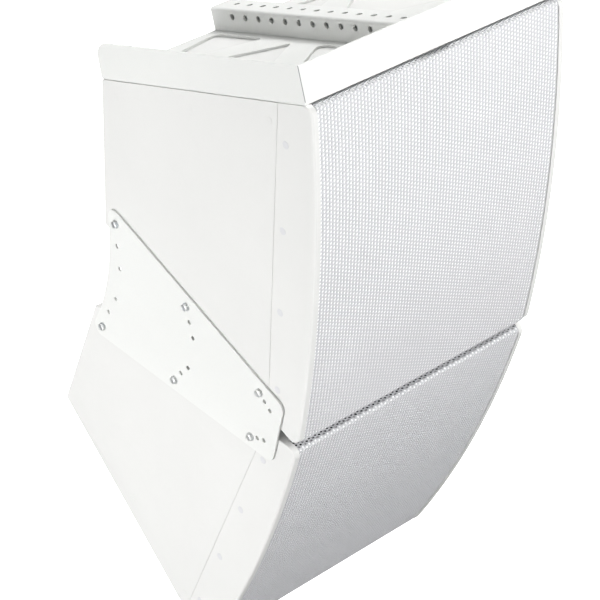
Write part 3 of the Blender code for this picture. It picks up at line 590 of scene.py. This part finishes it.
def turned_mesh(name, profile, segments=40):
    """A closed solid: (radius, height) points from the axis to the axis, turned about Z."""
    points, faces = [], []
    rings = []
    for radius, height in profile:
        if radius == 0:
            rings.append([len(points)])
            points.append((0.0, 0.0, height))
            continue
        rings.append(list(range(len(points), len(points) + segments)))
        for i in range(segments):
            turn = 2 * math.pi * i / segments
            points.append((radius * math.cos(turn), radius * math.sin(turn), height))
    for lower, upper in zip(rings, rings[1:]):
        for i in range(segments):
            j = (i + 1) % segments
            a, b = lower[i % len(lower)], lower[j % len(lower)]
            c, d = upper[j % len(upper)], upper[i % len(upper)]
            face = [v for k, v in enumerate((a, b, c, d)) if v not in (a, b, c, d)[:k]]
            faces.append(face)
    mesh = bpy.data.meshes.new(name)
    mesh.from_pydata(points, [], faces)
    solid = bmesh.new()
    solid.from_mesh(mesh)
    bmesh.ops.recalc_face_normals(solid, faces=solid.faces)
    solid.to_mesh(mesh)
    solid.free()
    return smooth(mesh)


def softened_mesh(node, width, shortest=0.0, angle=35.0, segments=2):
    """A CAD node's mesh with its sharp edges rounded, those of the shortest length and up."""
    solid = bmesh.new()
    solid.from_mesh(frame["nodes"][node].data)
    bmesh.ops.remove_doubles(solid, verts=solid.verts, dist=0.00001)
    bmesh.ops.dissolve_limit(
        solid, angle_limit=math.radians(0.5), verts=solid.verts, edges=solid.edges
    )
    sharp = [
        e for e in solid.edges
        if len(e.link_faces) == 2
        and e.calc_face_angle() > math.radians(angle)
        and e.calc_length() >= shortest
    ]
    bmesh.ops.bevel(
        solid, geom=sharp, offset=width, segments=segments, profile=0.5, affect="EDGES",
        clamp_overlap=True,
    )
    bmesh.ops.triangulate(solid, faces=[f for f in solid.faces if len(f.verts) > 4])
    mesh = bpy.data.meshes.new(node)
    solid.to_mesh(mesh)
    solid.free()
    return smooth(mesh, 30.0)


# ---------------------------------------------------------------- perforated grilles

def grille_profile():
    """A function from length along the sheet, top to bottom, to (y, z) and the outward normal.

    Also gives the sheet's length and the length at which its face begins.
    """
    radius = FRONT_RADIUS - GRILLE_INSET
    centre_y = FRONT_RADIUS - FRONT_BULGE
    line = HALF_FRONT - GRILLE_EDGE / math.cos(TAPER)
    slope = math.tan(TAPER)
    square = 1 + slope ** 2
    middle = (centre_y + line * slope) / square
    rest = (centre_y ** 2 + line ** 2 - radius ** 2) / square
    sharp_y = middle - math.sqrt(middle ** 2 - rest)
    sharp_z = line - slope * sharp_y
    crease = math.atan2(sharp_z, centre_y - sharp_y) - GRILLE_CREASE_DROP / radius

    def on_face(angle):
        return centre_y - radius * math.cos(angle), radius * math.sin(angle)

    corners = [
        (GRILLE_RETURN, line - slope * GRILLE_RETURN, 0),
        (
            sharp_y + GRILLE_CREASE_BACK * math.cos(TAPER),
            sharp_z - GRILLE_CREASE_BACK * math.sin(TAPER),
            GRILLE_BENDS[0],
        ),
        (*on_face(crease), GRILLE_BENDS[1]),
    ]
    corners += [(*on_face(angle), 0) for angle in np.linspace(crease * 0.97, 0.0, 60)]
    half = np.array(rounded(corners, 6))
    path = np.vstack([half, half[-2::-1] * (1, -1)])
    steps = np.diff(path, axis=0)
    lengths = np.linalg.norm(steps, axis=1)
    along = np.concatenate([[0.0], np.cumsum(lengths)])
    across = np.column_stack([steps[:, 1], -steps[:, 0]]) / lengths[:, None]
    normals = np.vstack([across[:1], across[:-1] + across[1:], across[-1:]])
    normals /= np.linalg.norm(normals, axis=1)[:, None]

    def place(length):
        y, z = (np.interp(length, along, path[:, k]) for k in (0, 1))
        out_y, out_z = (np.interp(length, along, normals[:, k]) for k in (0, 1))
        size = math.hypot(out_y, out_z)
        return float(y), float(z), float(out_y / size), float(out_z / size)

    face_start = float(along[np.argmin(np.linalg.norm(half - corners[3][:2], axis=1))])
    return place, float(along[-1]), face_start


def ring_between(outer, inner):
    """Triangles between two counter-clockwise loops round the same point, as index pairs."""
    turn_out = [math.atan2(y, x) % (2 * math.pi) for x, y in outer]
    turn_in = [math.atan2(y, x) % (2 * math.pi) for x, y in inner]
    start_out = int(np.argmin(turn_out))
    start_in = int(np.argmin(turn_in))
    order_out = [(start_out + i) % len(outer) for i in range(len(outer) + 1)]
    order_in = [(start_in + i) % len(inner) for i in range(len(inner) + 1)]
    once = 2 * math.pi
    angle_out = [turn_out[k] + (once if i == len(outer) else 0) for i, k in enumerate(order_out)]
    angle_in = [turn_in[k] + (once if i == len(inner) else 0) for i, k in enumerate(order_in)]
    faces, i, j = [], 0, 0
    while i < len(outer) or j < len(inner):
        step_out = j == len(inner) or (i < len(outer) and angle_out[i + 1] <= angle_in[j + 1])
        a, b = ("o", order_out[i]), ("i", order_in[j])
        if step_out:
            i += 1
            faces.append((a, ("o", order_out[i]), b))
        else:
            j += 1
            faces.append((a, ("i", order_in[j]), b))
    return faces


def grille_panel_mesh(name, start, end):
    """One upright panel of the perforated sheet, a closed solid with staggered holes."""
    place, length, _ = grille_profile()
    start, end = start + GRILLE_JOIN, end - GRILLE_JOIN
    pitch_x = (end - start) / GRILLE_COLUMNS
    half_s = length / GRILLE_ROWS / 2
    levels = 2 * GRILLE_ROWS + 1
    flat, cells = [], []
    for column in range(GRILLE_COLUMNS + 1):
        flat += [(start + column * pitch_x, level * half_s) for level in range(levels)]
    turns = [2 * math.pi * (i + 0.5) / GRILLE_SIDES for i in range(GRILLE_SIDES)]
    ring = [(GRILLE_HOLE * math.cos(t), GRILLE_HOLE * math.sin(t)) for t in turns]
    wide, tall = pitch_x / 2, half_s
    border = [(-wide, -tall), (wide, -tall), (wide, 0.0), (wide, tall), (-wide, tall), (-wide, 0.0)]
    pattern = ring_between(border, ring)
    offset = int(round(start / pitch_x)) % 2
    faces = []
    for column in range(GRILLE_COLUMNS):
        first = (column + offset) % 2
        left, right = column * levels, (column + 1) * levels
        if first:
            for low in (0, levels - 2):
                faces.append((left + low, right + low, right + low + 1, left + low + 1))
        for low in range(first, levels - 2, 2):
            corners = [
                left + low, right + low, right + low + 1,
                right + low + 2, left + low + 2, left + low + 1,
            ]
            centre_x = start + (column + 0.5) * pitch_x
            centre_s = (low + 1) * half_s
            holes = list(range(len(flat), len(flat) + GRILLE_SIDES))
            flat += [(centre_x + x, centre_s + s) for x, s in ring]
            cells.append(holes)
            lookup = {"o": corners, "i": holes}
            faces += [tuple(lookup[kind][k] for kind, k in face) for face in pattern]
    count = len(flat)
    outer, inner = [], []
    for x, s in flat:
        y, z, normal_y, normal_z = place(s)
        outer.append((x, y, z))
        inner.append((x, y - normal_y * GRILLE_SHEET, z - normal_z * GRILLE_SHEET))
    solid = [face[::-1] for face in faces]
    solid += [tuple(v + count for v in face) for face in faces]
    sheet_faces = len(solid)
    for holes in cells:
        for a, b in zip(holes, holes[1:] + holes[:1]):
            solid.append((b, a, a + count, b + count))
    wall_faces = len(solid)
    last = GRILLE_COLUMNS * levels
    for level in range(levels - 1):
        solid.append((level, level + 1, level + 1 + count, level + count))
        a = last + level
        solid.append((a + 1, a, a + count, a + 1 + count))
    for column in range(GRILLE_COLUMNS):
        a, b = column * levels, (column + 1) * levels
        solid.append((b, a, a + count, b + count))
        a, b = a + levels - 1, b + levels - 1
        solid.append((a, b, b + count, a + count))
    mesh = bpy.data.meshes.new(name)
    mesh.from_pydata(outer + inner, [], solid)
    smooth(mesh, 42.0)
    # Index 1 marks the hole walls, which take the darker material with painted shade.
    material = np.zeros(len(solid), dtype=np.int32)
    material[sheet_faces:wall_faces] = 1
    mesh.polygons.foreach_set("material_index", material)
    return mesh


def backing_mesh():
    """The cloth-faced foam behind the sheet's face."""
    place, length, face_start = grille_profile()
    start = face_start - BACKING_LIP
    samples = [place(s) for s in np.linspace(start, length - start, 240)]
    depth = GRILLE_SHEET + BACKING_GAP
    front = [(y - ny * depth, z - nz * depth) for y, z, ny, nz in samples]
    back = [(y + BACKING_THICKNESS, z * (1 - BACKING_THICKNESS / HALF_FRONT)) for y, z in front]
    outline = front + back[::-1]
    count = len(outline)
    columns = np.linspace(-GRILLE_REACH, GRILLE_REACH, 13)
    points = [(x, y, z) for x in columns for y, z in outline]
    faces = []
    for ring in range(len(columns) - 1):
        for i in range(count):
            a, b = ring * count, (ring + 1) * count
            j = (i + 1) % count
            faces.append((a + i, a + j, b + j, b + i))
    half = count // 2
    for ring in (0, len(columns) - 1):
        for i in range(half - 1):
            a = ring * count
            faces.append((a + i, a + i + 1, a + count - 2 - i, a + count - 1 - i))
    mesh = bpy.data.meshes.new("backing")
    mesh.from_pydata(points, [], faces)
    solid = bmesh.new()
    solid.from_mesh(mesh)
    bmesh.ops.recalc_face_normals(solid, faces=solid.faces)
    solid.to_mesh(mesh)
    solid.free()
    return smooth(mesh)


def add_grilles():
    width = 2 * GRILLE_REACH / GRILLE_PANELS
    panels = [
        grille_panel_mesh("grille", -GRILLE_REACH + i * width, -GRILLE_REACH + (i + 1) * width)
        for i in range(GRILLE_PANELS)
    ]
    backing = backing_mesh()
    for prefix, matrix in CABINETS.items():
        for number, mesh in enumerate(panels, 1):
            own = mesh.copy()
            own.transform(matrix)
            piece = add_piece(f"{prefix}_grille_{number}", own, "grille_steel")
            # The hole walls get the darker material with painted shade.
            own.materials.append(HOLE_WALL_SHADE)
            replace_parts(piece, f"{prefix}_grille")
        own = backing.copy()
        own.transform(matrix)
        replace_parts(add_piece(f"{prefix}_grille_backing", own, "foam"), f"{prefix}_grille_foam")


# ---------------------------------------------------------------- cheeks

def front_depth(z):
    return FRONT_RADIUS - FRONT_BULGE - math.sqrt(FRONT_RADIUS ** 2 - z ** 2)


def cheek_mesh(side):
    """Slab with a bulged front, its outer edge rounded all round but at the back."""
    back = CHEEK_BACK + GAP - CHEEK_JOINT
    corner = 0.0
    for _ in range(20):
        corner = front_depth(edge_height(corner))
    tip = edge_height(corner)
    reach = tip * 0.9
    nearly = corner + CHEEK_CORNER * 1.5
    corners = [(back, edge_height(back), 0), (nearly, edge_height(nearly), 0)]
    corners += [(corner, tip, CHEEK_CORNER)]
    corners += [(front_depth(z), z, 0) for z in np.linspace(reach, -reach, 48)]
    corners += [(corner, -tip, CHEEK_CORNER), (nearly, -edge_height(nearly), 0)]
    corners += [(back, -edge_height(back), 0)]
    outline = rounded(corners, 14)
    last = len(outline) - 1
    inward = []
    for i, point in enumerate(outline):
        if i in (0, last):
            inward.append(Vector((0.0, (-1 if i == 0 else 1) / math.cos(TAPER))))
            continue
        before = (point - outline[i - 1]).normalized()
        after = (outline[i + 1] - point).normalized()
        along = (before + after).normalized()
        inward.append(Vector((-along.y, along.x)) / along.dot(after))
    turns = [math.pi / 2 * i / 8 for i in range(9)]
    small = CHEEK_INNER_EDGE
    steps = [
        (CHEEK_THICKNESS, small), (CHEEK_THICKNESS - small * 0.3, small * 0.3),
        (CHEEK_THICKNESS - small, 0.0),
    ]
    steps += [(CHEEK_EDGE * (1 - math.sin(t)), CHEEK_EDGE * (1 - math.cos(t))) for t in turns]
    points, faces = [], []
    share = CHEEK_SIDE_EDGE / CHEEK_EDGE
    for depth, inset in steps:
        for point, lean in zip(outline, inward):
            facing = (lean.normalized().x + math.sin(TAPER)) / (1 + math.sin(TAPER))
            part = share + (1 - share) * min(1.0, max(0.0, facing))
            x = side * (HALF_WIDTH - CHEEK_SINK - (depth if depth > CHEEK_EDGE else depth * part))
            points.append((x, *(point + lean * inset * part)))
    count = last + 1
    for ring in range(len(steps) - 1):
        for i in range(last):
            a, b = ring * count + i, (ring + 1) * count + i
            faces.append((a, a + 1, b + 1, b))
    faces.append(tuple(range(count)))
    top = (len(steps) - 1) * count
    faces.append(tuple(range(top, top + count)))
    backs = [ring * count for ring in range(len(steps))]
    faces.append(tuple(backs + [start + last for start in backs[::-1]]))
    mesh = bpy.data.meshes.new("cheek")
    mesh.from_pydata(points, [], faces)
    solid = bmesh.new()
    solid.from_mesh(mesh)
    bmesh.ops.recalc_face_normals(solid, faces=solid.faces)
    rear = [e for e in solid.edges if all(abs(v.co.y - back) < 0.00001 for v in e.verts)]
    bmesh.ops.bevel(
        solid, geom=rear, offset=CHEEK_BACK_EDGE, segments=2, profile=0.5, affect="EDGES"
    )
    solid.to_mesh(mesh)
    solid.free()
    return smooth(mesh, 30.0)


def add_cheeks():
    for side, label in ((-1, "left"), (1, "right")):
        mesh = cheek_mesh(side)
        for prefix, matrix in CABINETS.items():
            own = mesh.copy()
            own.transform(matrix)
            piece = add_piece(f"{prefix}_cheek_{label}_finished", own, "cabinet_paint")
            weight_normals(piece)
            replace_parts(piece, f"{prefix}_cheek_{label}")


# ---------------------------------------------------------------- link plates and fasteners

def add_link_plates():
    bolts, spares = link_holes()
    loops = [rounded(plate_outline())] + [circle(y, z, BOLT_HOLE) for y, z in bolts + spares]
    for side, label in ((-1, "left"), (1, "right")):
        near, far = side * (HALF_WIDTH + GAP), side * (HALF_WIDTH + GAP + PLATE_THICKNESS)
        mesh = plate_mesh("plate", loops, min(near, far), max(near, far), SIDE_PLANE, PLATE_EDGE)
        mesh.transform(LINK)
        piece = weight_normals(add_piece(f"link_plate_{label}_sheet", mesh, "sheet_steel"))
        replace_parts(piece, f"link_plate_{label}")


def bolt_mesh(shank_length, spin):
    """Chamfered hex head on its washer, the shank pointing down -Z from the seat at 0."""
    flat_radius = HEX_APOTHEM * 0.95
    top = WASHER_THICKNESS + HEX_HEIGHT
    points, faces, rings = [], [], []

    def ring(radius_of, height_of):
        rings.append(list(range(len(points), len(points) + BOLT_SEGMENTS)))
        for i in range(BOLT_SEGMENTS):
            turn = 2 * math.pi * i / BOLT_SEGMENTS
            radius = radius_of(turn)
            x, y = radius * math.cos(turn + spin), radius * math.sin(turn + spin)
            points.append((x, y, height_of(radius)))

    def hexagon(turn):
        return HEX_APOTHEM / math.cos((turn % (math.pi / 3)) - math.pi / 6)

    edge = BOLT_EDGE
    for radius, height in (
        (SHANK, -shank_length), (SHANK, 0.0), (WASHER - edge, 0.0), (WASHER, edge),
        (WASHER, WASHER_THICKNESS - edge), (WASHER - edge, WASHER_THICKNESS),
        (HEX_APOTHEM * 0.97, WASHER_THICKNESS), (HEX_APOTHEM * 0.97, WASHER_THICKNESS + 0.0004),
    ):
        ring(lambda turn, r=radius: r, lambda r, h=height: h)
    ring(hexagon, lambda r: WASHER_THICKNESS + 0.0006)
    ring(hexagon, lambda r: top - (r - flat_radius) * math.tan(math.radians(30)))
    for radius, height in (
        (flat_radius, top), (HEX_APOTHEM * 0.72, top), (HEX_APOTHEM * 0.66, top - 0.0004)
    ):
        ring(lambda turn, r=radius: r, lambda r, h=height: h)
    for lower, upper in zip(rings, rings[1:]):
        for i in range(BOLT_SEGMENTS):
            j = (i + 1) % BOLT_SEGMENTS
            faces.append((lower[i], lower[j], upper[j], upper[i]))
    faces.append(rings[0][::-1])
    faces.append(rings[-1])
    mesh = bpy.data.meshes.new("bolt")
    mesh.from_pydata(points, [], faces)
    return smooth(mesh, 24.0)


def add_bolts():
    bolts, _ = link_holes()
    number = 0
    for side, label in ((-1, "left"), (1, "right")):
        outward = Matrix.Rotation(side * math.pi / 2, 4, "Y")
        far = side * (HALF_WIDTH + 2 * GAP + PLATE_THICKNESS)
        for index, (y, z) in enumerate(bolts, 1):
            number += 1
            seat = LINK @ Matrix.Translation((far, y, z)) @ outward
            mesh = bolt_mesh(LINK_SHANK_LENGTH, number * 0.7)
            mesh.transform(seat)
            piece = add_piece(f"link_bolt_{label}_{index}_hex", mesh, "zinc")
            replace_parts(piece, f"link_bolt_{label}_{index}")
    places = [(x, s) for s in FRAME_BOLT_S for x in (-FRAME_BOLT_X, FRAME_BOLT_X)]
    for index, (x, s) in enumerate(places, 1):
        mesh = bolt_mesh(FRAME_SHANK_LENGTH, index * 0.5)
        mesh.transform(FLY @ Matrix.Translation((x, s, FRAME_BOLT_SEAT + GAP)))
        piece = add_piece(f"frame_bolt_{index}_hex", mesh, "zinc")
        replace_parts(piece, f"frame_bolt_{index}")


def screw_profile():
    """A flat painted cap with a rounded rim."""
    r = CHEEK_SCREW
    return [
        (0.0, -0.002), (r * 0.8, -0.002), (r, -0.0006), (r, 0.0001), (r - 0.0001, 0.0003),
        (r - 0.0004, 0.0004), (r * 0.5, 0.00042), (0.0, 0.00042),
    ]


def plug_profile():
    """A flush push-in plug with a chamfered rim."""
    r = RIG_PLUG
    return [
        (0.0, -0.006), (0.0046, -0.006), (0.0046, 0.0001), (r, 0.0001), (r, 0.00025),
        (r - 0.0005, 0.0006), (r - 0.0012, 0.0006), (r - 0.0015, 0.0004), (0.0, 0.0004),
    ]


def add_side_details():
    """Screws in the cheeks and plugs in the unused rigging points."""
    for prefix, matrix in CABINETS.items():
        row = 1 if prefix == "upper" else -1
        for side, label in ((-1, "left"), (1, "right")):
            outward = Matrix.Rotation(side * math.pi / 2, 4, "Y")

            def put(name, profile, y, z, slot, finish=None, sink=0.0):
                mesh = smooth(turned_mesh(name, profile), 20.0)
                place = (side * (HALF_WIDTH - sink), y, z)
                mesh.transform(matrix @ Matrix.Translation(place) @ outward)
                add_piece(f"{prefix}_{name}", mesh, slot, finish=finish)

            heights = [z * sign for z in CHEEK_SCREW_Z for sign in (1, -1)]
            for index, z in enumerate(heights, 1):
                name = f"cheek_screw_{label}_{index}"
                put(name, screw_profile(), CHEEK_SCREW_Y, z, "zinc", SCREW_GREY, CHEEK_SINK)
            for index in range(3):
                y, z = rig_point(index)
                name = f"rigging_plug_{label}_{index + 1}"
                put(name, plug_profile(), y, row * z, "cabinet_paint")


def socket_profile():
    """A round connector: rim, guide ring and a hollow round its middle post."""
    return [
        (0.0, -0.027), (0.0118, -0.027), (0.0118, -0.0035), (0.0122, 0.0002),
        (0.0142, 0.0002), (0.0145, 0.0006), (0.0143, 0.0014), (0.0136, 0.0017),
        (0.0118, 0.0017), (0.0112, 0.0012), (0.0108, -0.0010), (0.0106, -0.0165),
        (0.0062, -0.0165), (0.0060, -0.0020), (0.0056, -0.0014), (0.0022, -0.0014),
        (0.0018, -0.0018), (0.0017, -0.0080), (0.0, -0.0080),
    ]


def panel_screw_profile():
    """A pan-head screw with a round socket."""
    r = PANEL_SCREW
    return [
        (0.0, -0.002), (0.0015, -0.002), (0.0015, 0.00005), (r, 0.00005),
        (r, 0.0004), (r * 0.92, 0.0009), (r * 0.70, 0.0013), (r * 0.42, 0.0014),
        (r * 0.38, 0.0013), (r * 0.36, 0.0005), (0.0, 0.0005),
    ]


def add_input_panels():
    """Rear plates with two connectors and six screws each."""
    half_x, half_z = PANEL_HALF
    places = ((half_x, -half_z), (half_x, half_z), (-half_x, half_z), (-half_x, -half_z))
    border = rounded([(x, z, PANEL_CORNER) for x, z in places])
    loops = [border] + [circle(x, 0.0, SOCKET_HOLE, 40) for x in (-SOCKET_X, SOCKET_X)]
    face = DEPTH - GAP
    facing = Matrix(((-1, 0, 0, 0), (0, 0, 1, 0), (0, 1, 0, 0), (0, 0, 0, 1)))
    for prefix, matrix in CABINETS.items():
        mesh = plate_mesh("panel", loops, face - PANEL_THICKNESS, face, matrix @ facing, PANEL_EDGE)
        piece = weight_normals(add_piece(f"{prefix}_input_panel_plate", mesh, "panel_metal"))
        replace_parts(piece, f"{prefix}_input_panel")
        outward = matrix @ Matrix.Translation((0, face, 0)) @ facing
        for number, x in enumerate((-SOCKET_X, SOCKET_X), 1):
            mesh = turned_mesh("socket", socket_profile())
            mesh.transform(outward @ Matrix.Translation((x, 0, 0)))
            name = f"{prefix}_input_socket_{number}"
            add_piece(name, mesh, "panel_metal", finish=FINISHES["black_plastic"])
        reach_x, reach_z = half_x - PANEL_SCREW_INSET, half_z - PANEL_SCREW_INSET
        places = [(x * reach_x, z * reach_z) for x in (-1, 0, 1) for z in (-1, 1)]
        for number, (x, z) in enumerate(places, 1):
            mesh = turned_mesh("panel_screw", panel_screw_profile(), 28)
            mesh.transform(outward @ Matrix.Translation((x, z, 0)))
            name = f"{prefix}_panel_screw_{number}"
            add_piece(name, mesh, "panel_metal", finish=FINISHES["zinc"])


# ---------------------------------------------------------------- steelwork and shells

def add_softened():
    """Steelwork and boxes with the small edge radii that their sheet and paint give."""
    for node, width, shortest, slot in (
        ("fly_frame", STEEL_EDGE, 0.0, "sheet_steel"),
        ("fly_beam", STEEL_EDGE, 0.0, "sheet_steel"),
        ("upper_cabinet_shell", SHELL_EDGE, SHELL_EDGE_SHORTEST, "cabinet_paint"),
        ("lower_cabinet_shell", SHELL_EDGE, SHELL_EDGE_SHORTEST, "cabinet_paint"),
    ):
        mesh = softened_mesh(node, width, shortest)
        piece = weight_normals(add_piece(f"{node}_finished", mesh, slot))
        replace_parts(piece, node)


def seam_profile():
    """A weld bead: a thin rod whose radius ripples along its length."""
    height = TRAY_HEIGHT - SEAM_FOOT
    count = 48
    rings = [
        (SEAM_RADIUS * (0.93 + 0.10 * math.sin(2.4 * i)), height * i / count)
        for i in range(1, count)
    ]
    end = SEAM_RADIUS * 0.6
    return [(0.0, 0.0), (end, 0.0003)] + rings + [(end, height - 0.0003), (0.0, height)]


def add_frame_details():
    """Welds at the tray's mitred corners and the plate that closes the beam's rear end."""
    for side, label in ((-1, "left"), (1, "right")):
        mesh = turned_mesh("weld", seam_profile(), 16)
        place = (side * (TRAY_HALF_WIDTH - SEAM_INSET), TRAY_FRONT + SEAM_INSET, SEAM_FOOT)
        mesh.transform(FLY @ Matrix.Translation(place))
        add_piece(f"fly_frame_weld_{label}", mesh, "sheet_steel", finish=WELD_GREY)
    low, high = CAP_HEIGHTS
    x = CAP_HALF_WIDTH
    outline = rounded([(-x, low, 0.001), (x, low, 0.001), (x, high, 0.003), (-x, high, 0.003)])
    facing = Matrix(((1, 0, 0, 0), (0, 0, 1, 0), (0, 1, 0, 0), (0, 0, 0, 1)))
    near, far = CAP_DEPTHS
    mesh = plate_mesh("cap", [outline], BEAM_REAR - far, BEAM_REAR - near, FLY @ facing, CAP_EDGE)
    weight_normals(add_piece("fly_beam_end_plate", mesh, "sheet_steel"))


# ---------------------------------------------------------------- studio

FLOOR_HEIGHT = -2.6
FLOOR_RISE = ((0.0, 0.0), (12.0, 0.0), (30.0, 0.0), (42.0, 1.5), (48.0, 6.0))
SWEEP_RADIUS = 50.0
DOME_FOOT = 14.0
WORLD_STRENGTH = 0.26
GROUND_WHITE = (0.75, 0.75, 0.76, 1.0)
SKY_WHITE = (1.0, 1.0, 1.0, 1.0)

# Name, diameter, watts, place and aim of each disk light
LIGHTS = (
    ("front", 2.2, 155.0, (0.5, -3.6, 1.4), (0, -0.2, -0.6)),
    ("front_low", 2.5, 16.0, (0.2, -3.4, -1.6), (0, -0.2, -0.8)),
    ("left", 2.2, 61.0, (-3.4, 0.2, -0.4), (-0.3, 0.1, -0.6)),
    ("left_low", 2.2, 52.0, (-3.1, 0.1, -1.7), (-0.3, 0.1, -0.7)),
    ("top", 2.0, 162.0, (1.6, 1.9, 3.2), (0, 0, -0.3)),
    ("top_left", 2.0, 16.0, (-1.8, 1.6, 3.0), (0, 0, -0.3)),
    ("right", 2.5, 45.0, (3.2, 0.4, 0.0), (0, 0, -0.6)),
    ("rear", 2.5, 60.0, (0.4, 3.8, -0.8), (0, 0, -0.7)),
)

# The photo's camera, fitted, in the upper cabinet's frame: radians, metres, millimetres
CAMERA_AZIMUTH = 0.75817
CAMERA_DOWN = 0.62998
CAMERA_ROLL = 0.04004
CAMERA_PLACE = (-2.71456, -2.49994, 2.48519)
CAMERA_LENS = 133.50
CAMERA_SENSOR = 36.0


def add_floor():
    """A pale floor that sweeps up into a dome, seen by the camera and lighting nothing."""
    turns = np.linspace(0.2, math.pi / 2, 10)[:-1]
    profile = [*FLOOR_RISE, (SWEEP_RADIUS, DOME_FOOT)]
    profile += [
        (SWEEP_RADIUS * math.cos(t), DOME_FOOT + SWEEP_RADIUS * math.sin(t)) for t in turns
    ]
    profile += [(0.0, DOME_FOOT + SWEEP_RADIUS)]
    mesh = turned_mesh("floor", profile, 64)
    floor = bpy.data.objects.new("floor", mesh)
    bpy.context.scene.collection.objects.link(floor)
    floor.location.z = FLOOR_HEIGHT
    tree = Tree("floor")
    cloud = tree.noise(0.8, 3.0, 0.5)
    tone = tree.mix(cloud, (0.93, 0.93, 0.93), (0.95, 0.95, 0.95))
    tree.finish(tone, tree.span(cloud, 0.3, 0.7, 0.75, 0.85), tree.bump(tree.noise(30.0), 0.0005))
    tree.shader.inputs["Emission Color"].default_value = (1.0, 1.0, 1.0, 1.0)
    tree.shader.inputs["Emission Strength"].default_value = 1.0
    mesh.materials.append(tree.material)
    floor.visible_diffuse = False
    floor.visible_glossy = False
    floor.visible_transmission = False
    floor.visible_shadow = False


def add_world():
    """Soft white room, a little dimmer towards the ground."""
    world = bpy.data.worlds.new("studio")
    bpy.context.scene.world = world
    world.use_nodes = True
    nodes, links = world.node_tree.nodes, world.node_tree.links
    place = nodes.new("ShaderNodeTexCoord")
    split = nodes.new("ShaderNodeSeparateXYZ")
    links.new(place.outputs["Generated"], split.inputs[0])
    ramp = nodes.new("ShaderNodeValToRGB")
    rise = nodes.new("ShaderNodeMapRange")
    rise.inputs["From Min"].default_value = -1.0
    rise.inputs["From Max"].default_value = 1.0
    links.new(split.outputs["Z"], rise.inputs["Value"])
    links.new(rise.outputs["Result"], ramp.inputs["Fac"])
    ramp.color_ramp.elements[0].position = 0.0
    ramp.color_ramp.elements[0].color = GROUND_WHITE
    ramp.color_ramp.elements[1].position = 0.60
    ramp.color_ramp.elements[1].color = SKY_WHITE
    links.new(ramp.outputs["Color"], nodes["Background"].inputs["Color"])
    nodes["Background"].inputs["Strength"].default_value = WORLD_STRENGTH


def add_light(name, size, watts, place, aim):
    light = bpy.data.lights.new(name, "AREA")
    light.shape = "DISK"
    light.size = size
    light.energy = watts
    lamp = bpy.data.objects.new(name, light)
    bpy.context.scene.collection.objects.link(lamp)
    lamp.location = place
    lamp.rotation_mode = "QUATERNION"
    lamp.rotation_quaternion = (Vector(aim) - Vector(place)).to_track_quat("-Z", "Y")


def add_camera():
    """A long lens from the left front, looking down, tipped a little to one side."""
    level_reach = math.cos(CAMERA_DOWN)
    forward = Vector((
        math.sin(CAMERA_AZIMUTH) * level_reach,
        math.cos(CAMERA_AZIMUTH) * level_reach,
        -math.sin(CAMERA_DOWN),
    ))
    level = forward.cross(Vector((0, 0, 1))).normalized()
    right = level * math.cos(CAMERA_ROLL) + level.cross(forward) * math.sin(CAMERA_ROLL)
    up = right.cross(forward)
    lens = bpy.data.cameras.new("camera")
    lens.lens = CAMERA_LENS
    lens.sensor_width = CAMERA_SENSOR
    camera = bpy.data.objects.new("camera", lens)
    bpy.context.scene.collection.objects.link(camera)
    turn = Matrix((right, up, -forward)).transposed().to_4x4()
    camera.matrix_world = TO_WORLD @ Matrix.Translation(CAMERA_PLACE) @ turn
    bpy.context.scene.camera = camera


def main():
    dress_cad_nodes()
    add_grilles()
    add_cheeks()
    add_link_plates()
    add_bolts()
    add_side_details()
    add_input_panels()
    add_softened()
    add_frame_details()
    add_floor()
    add_world()
    for light in LIGHTS:
        add_light(*light)
    add_camera()
    bpy.context.scene.view_settings.view_transform = "Standard"


main()
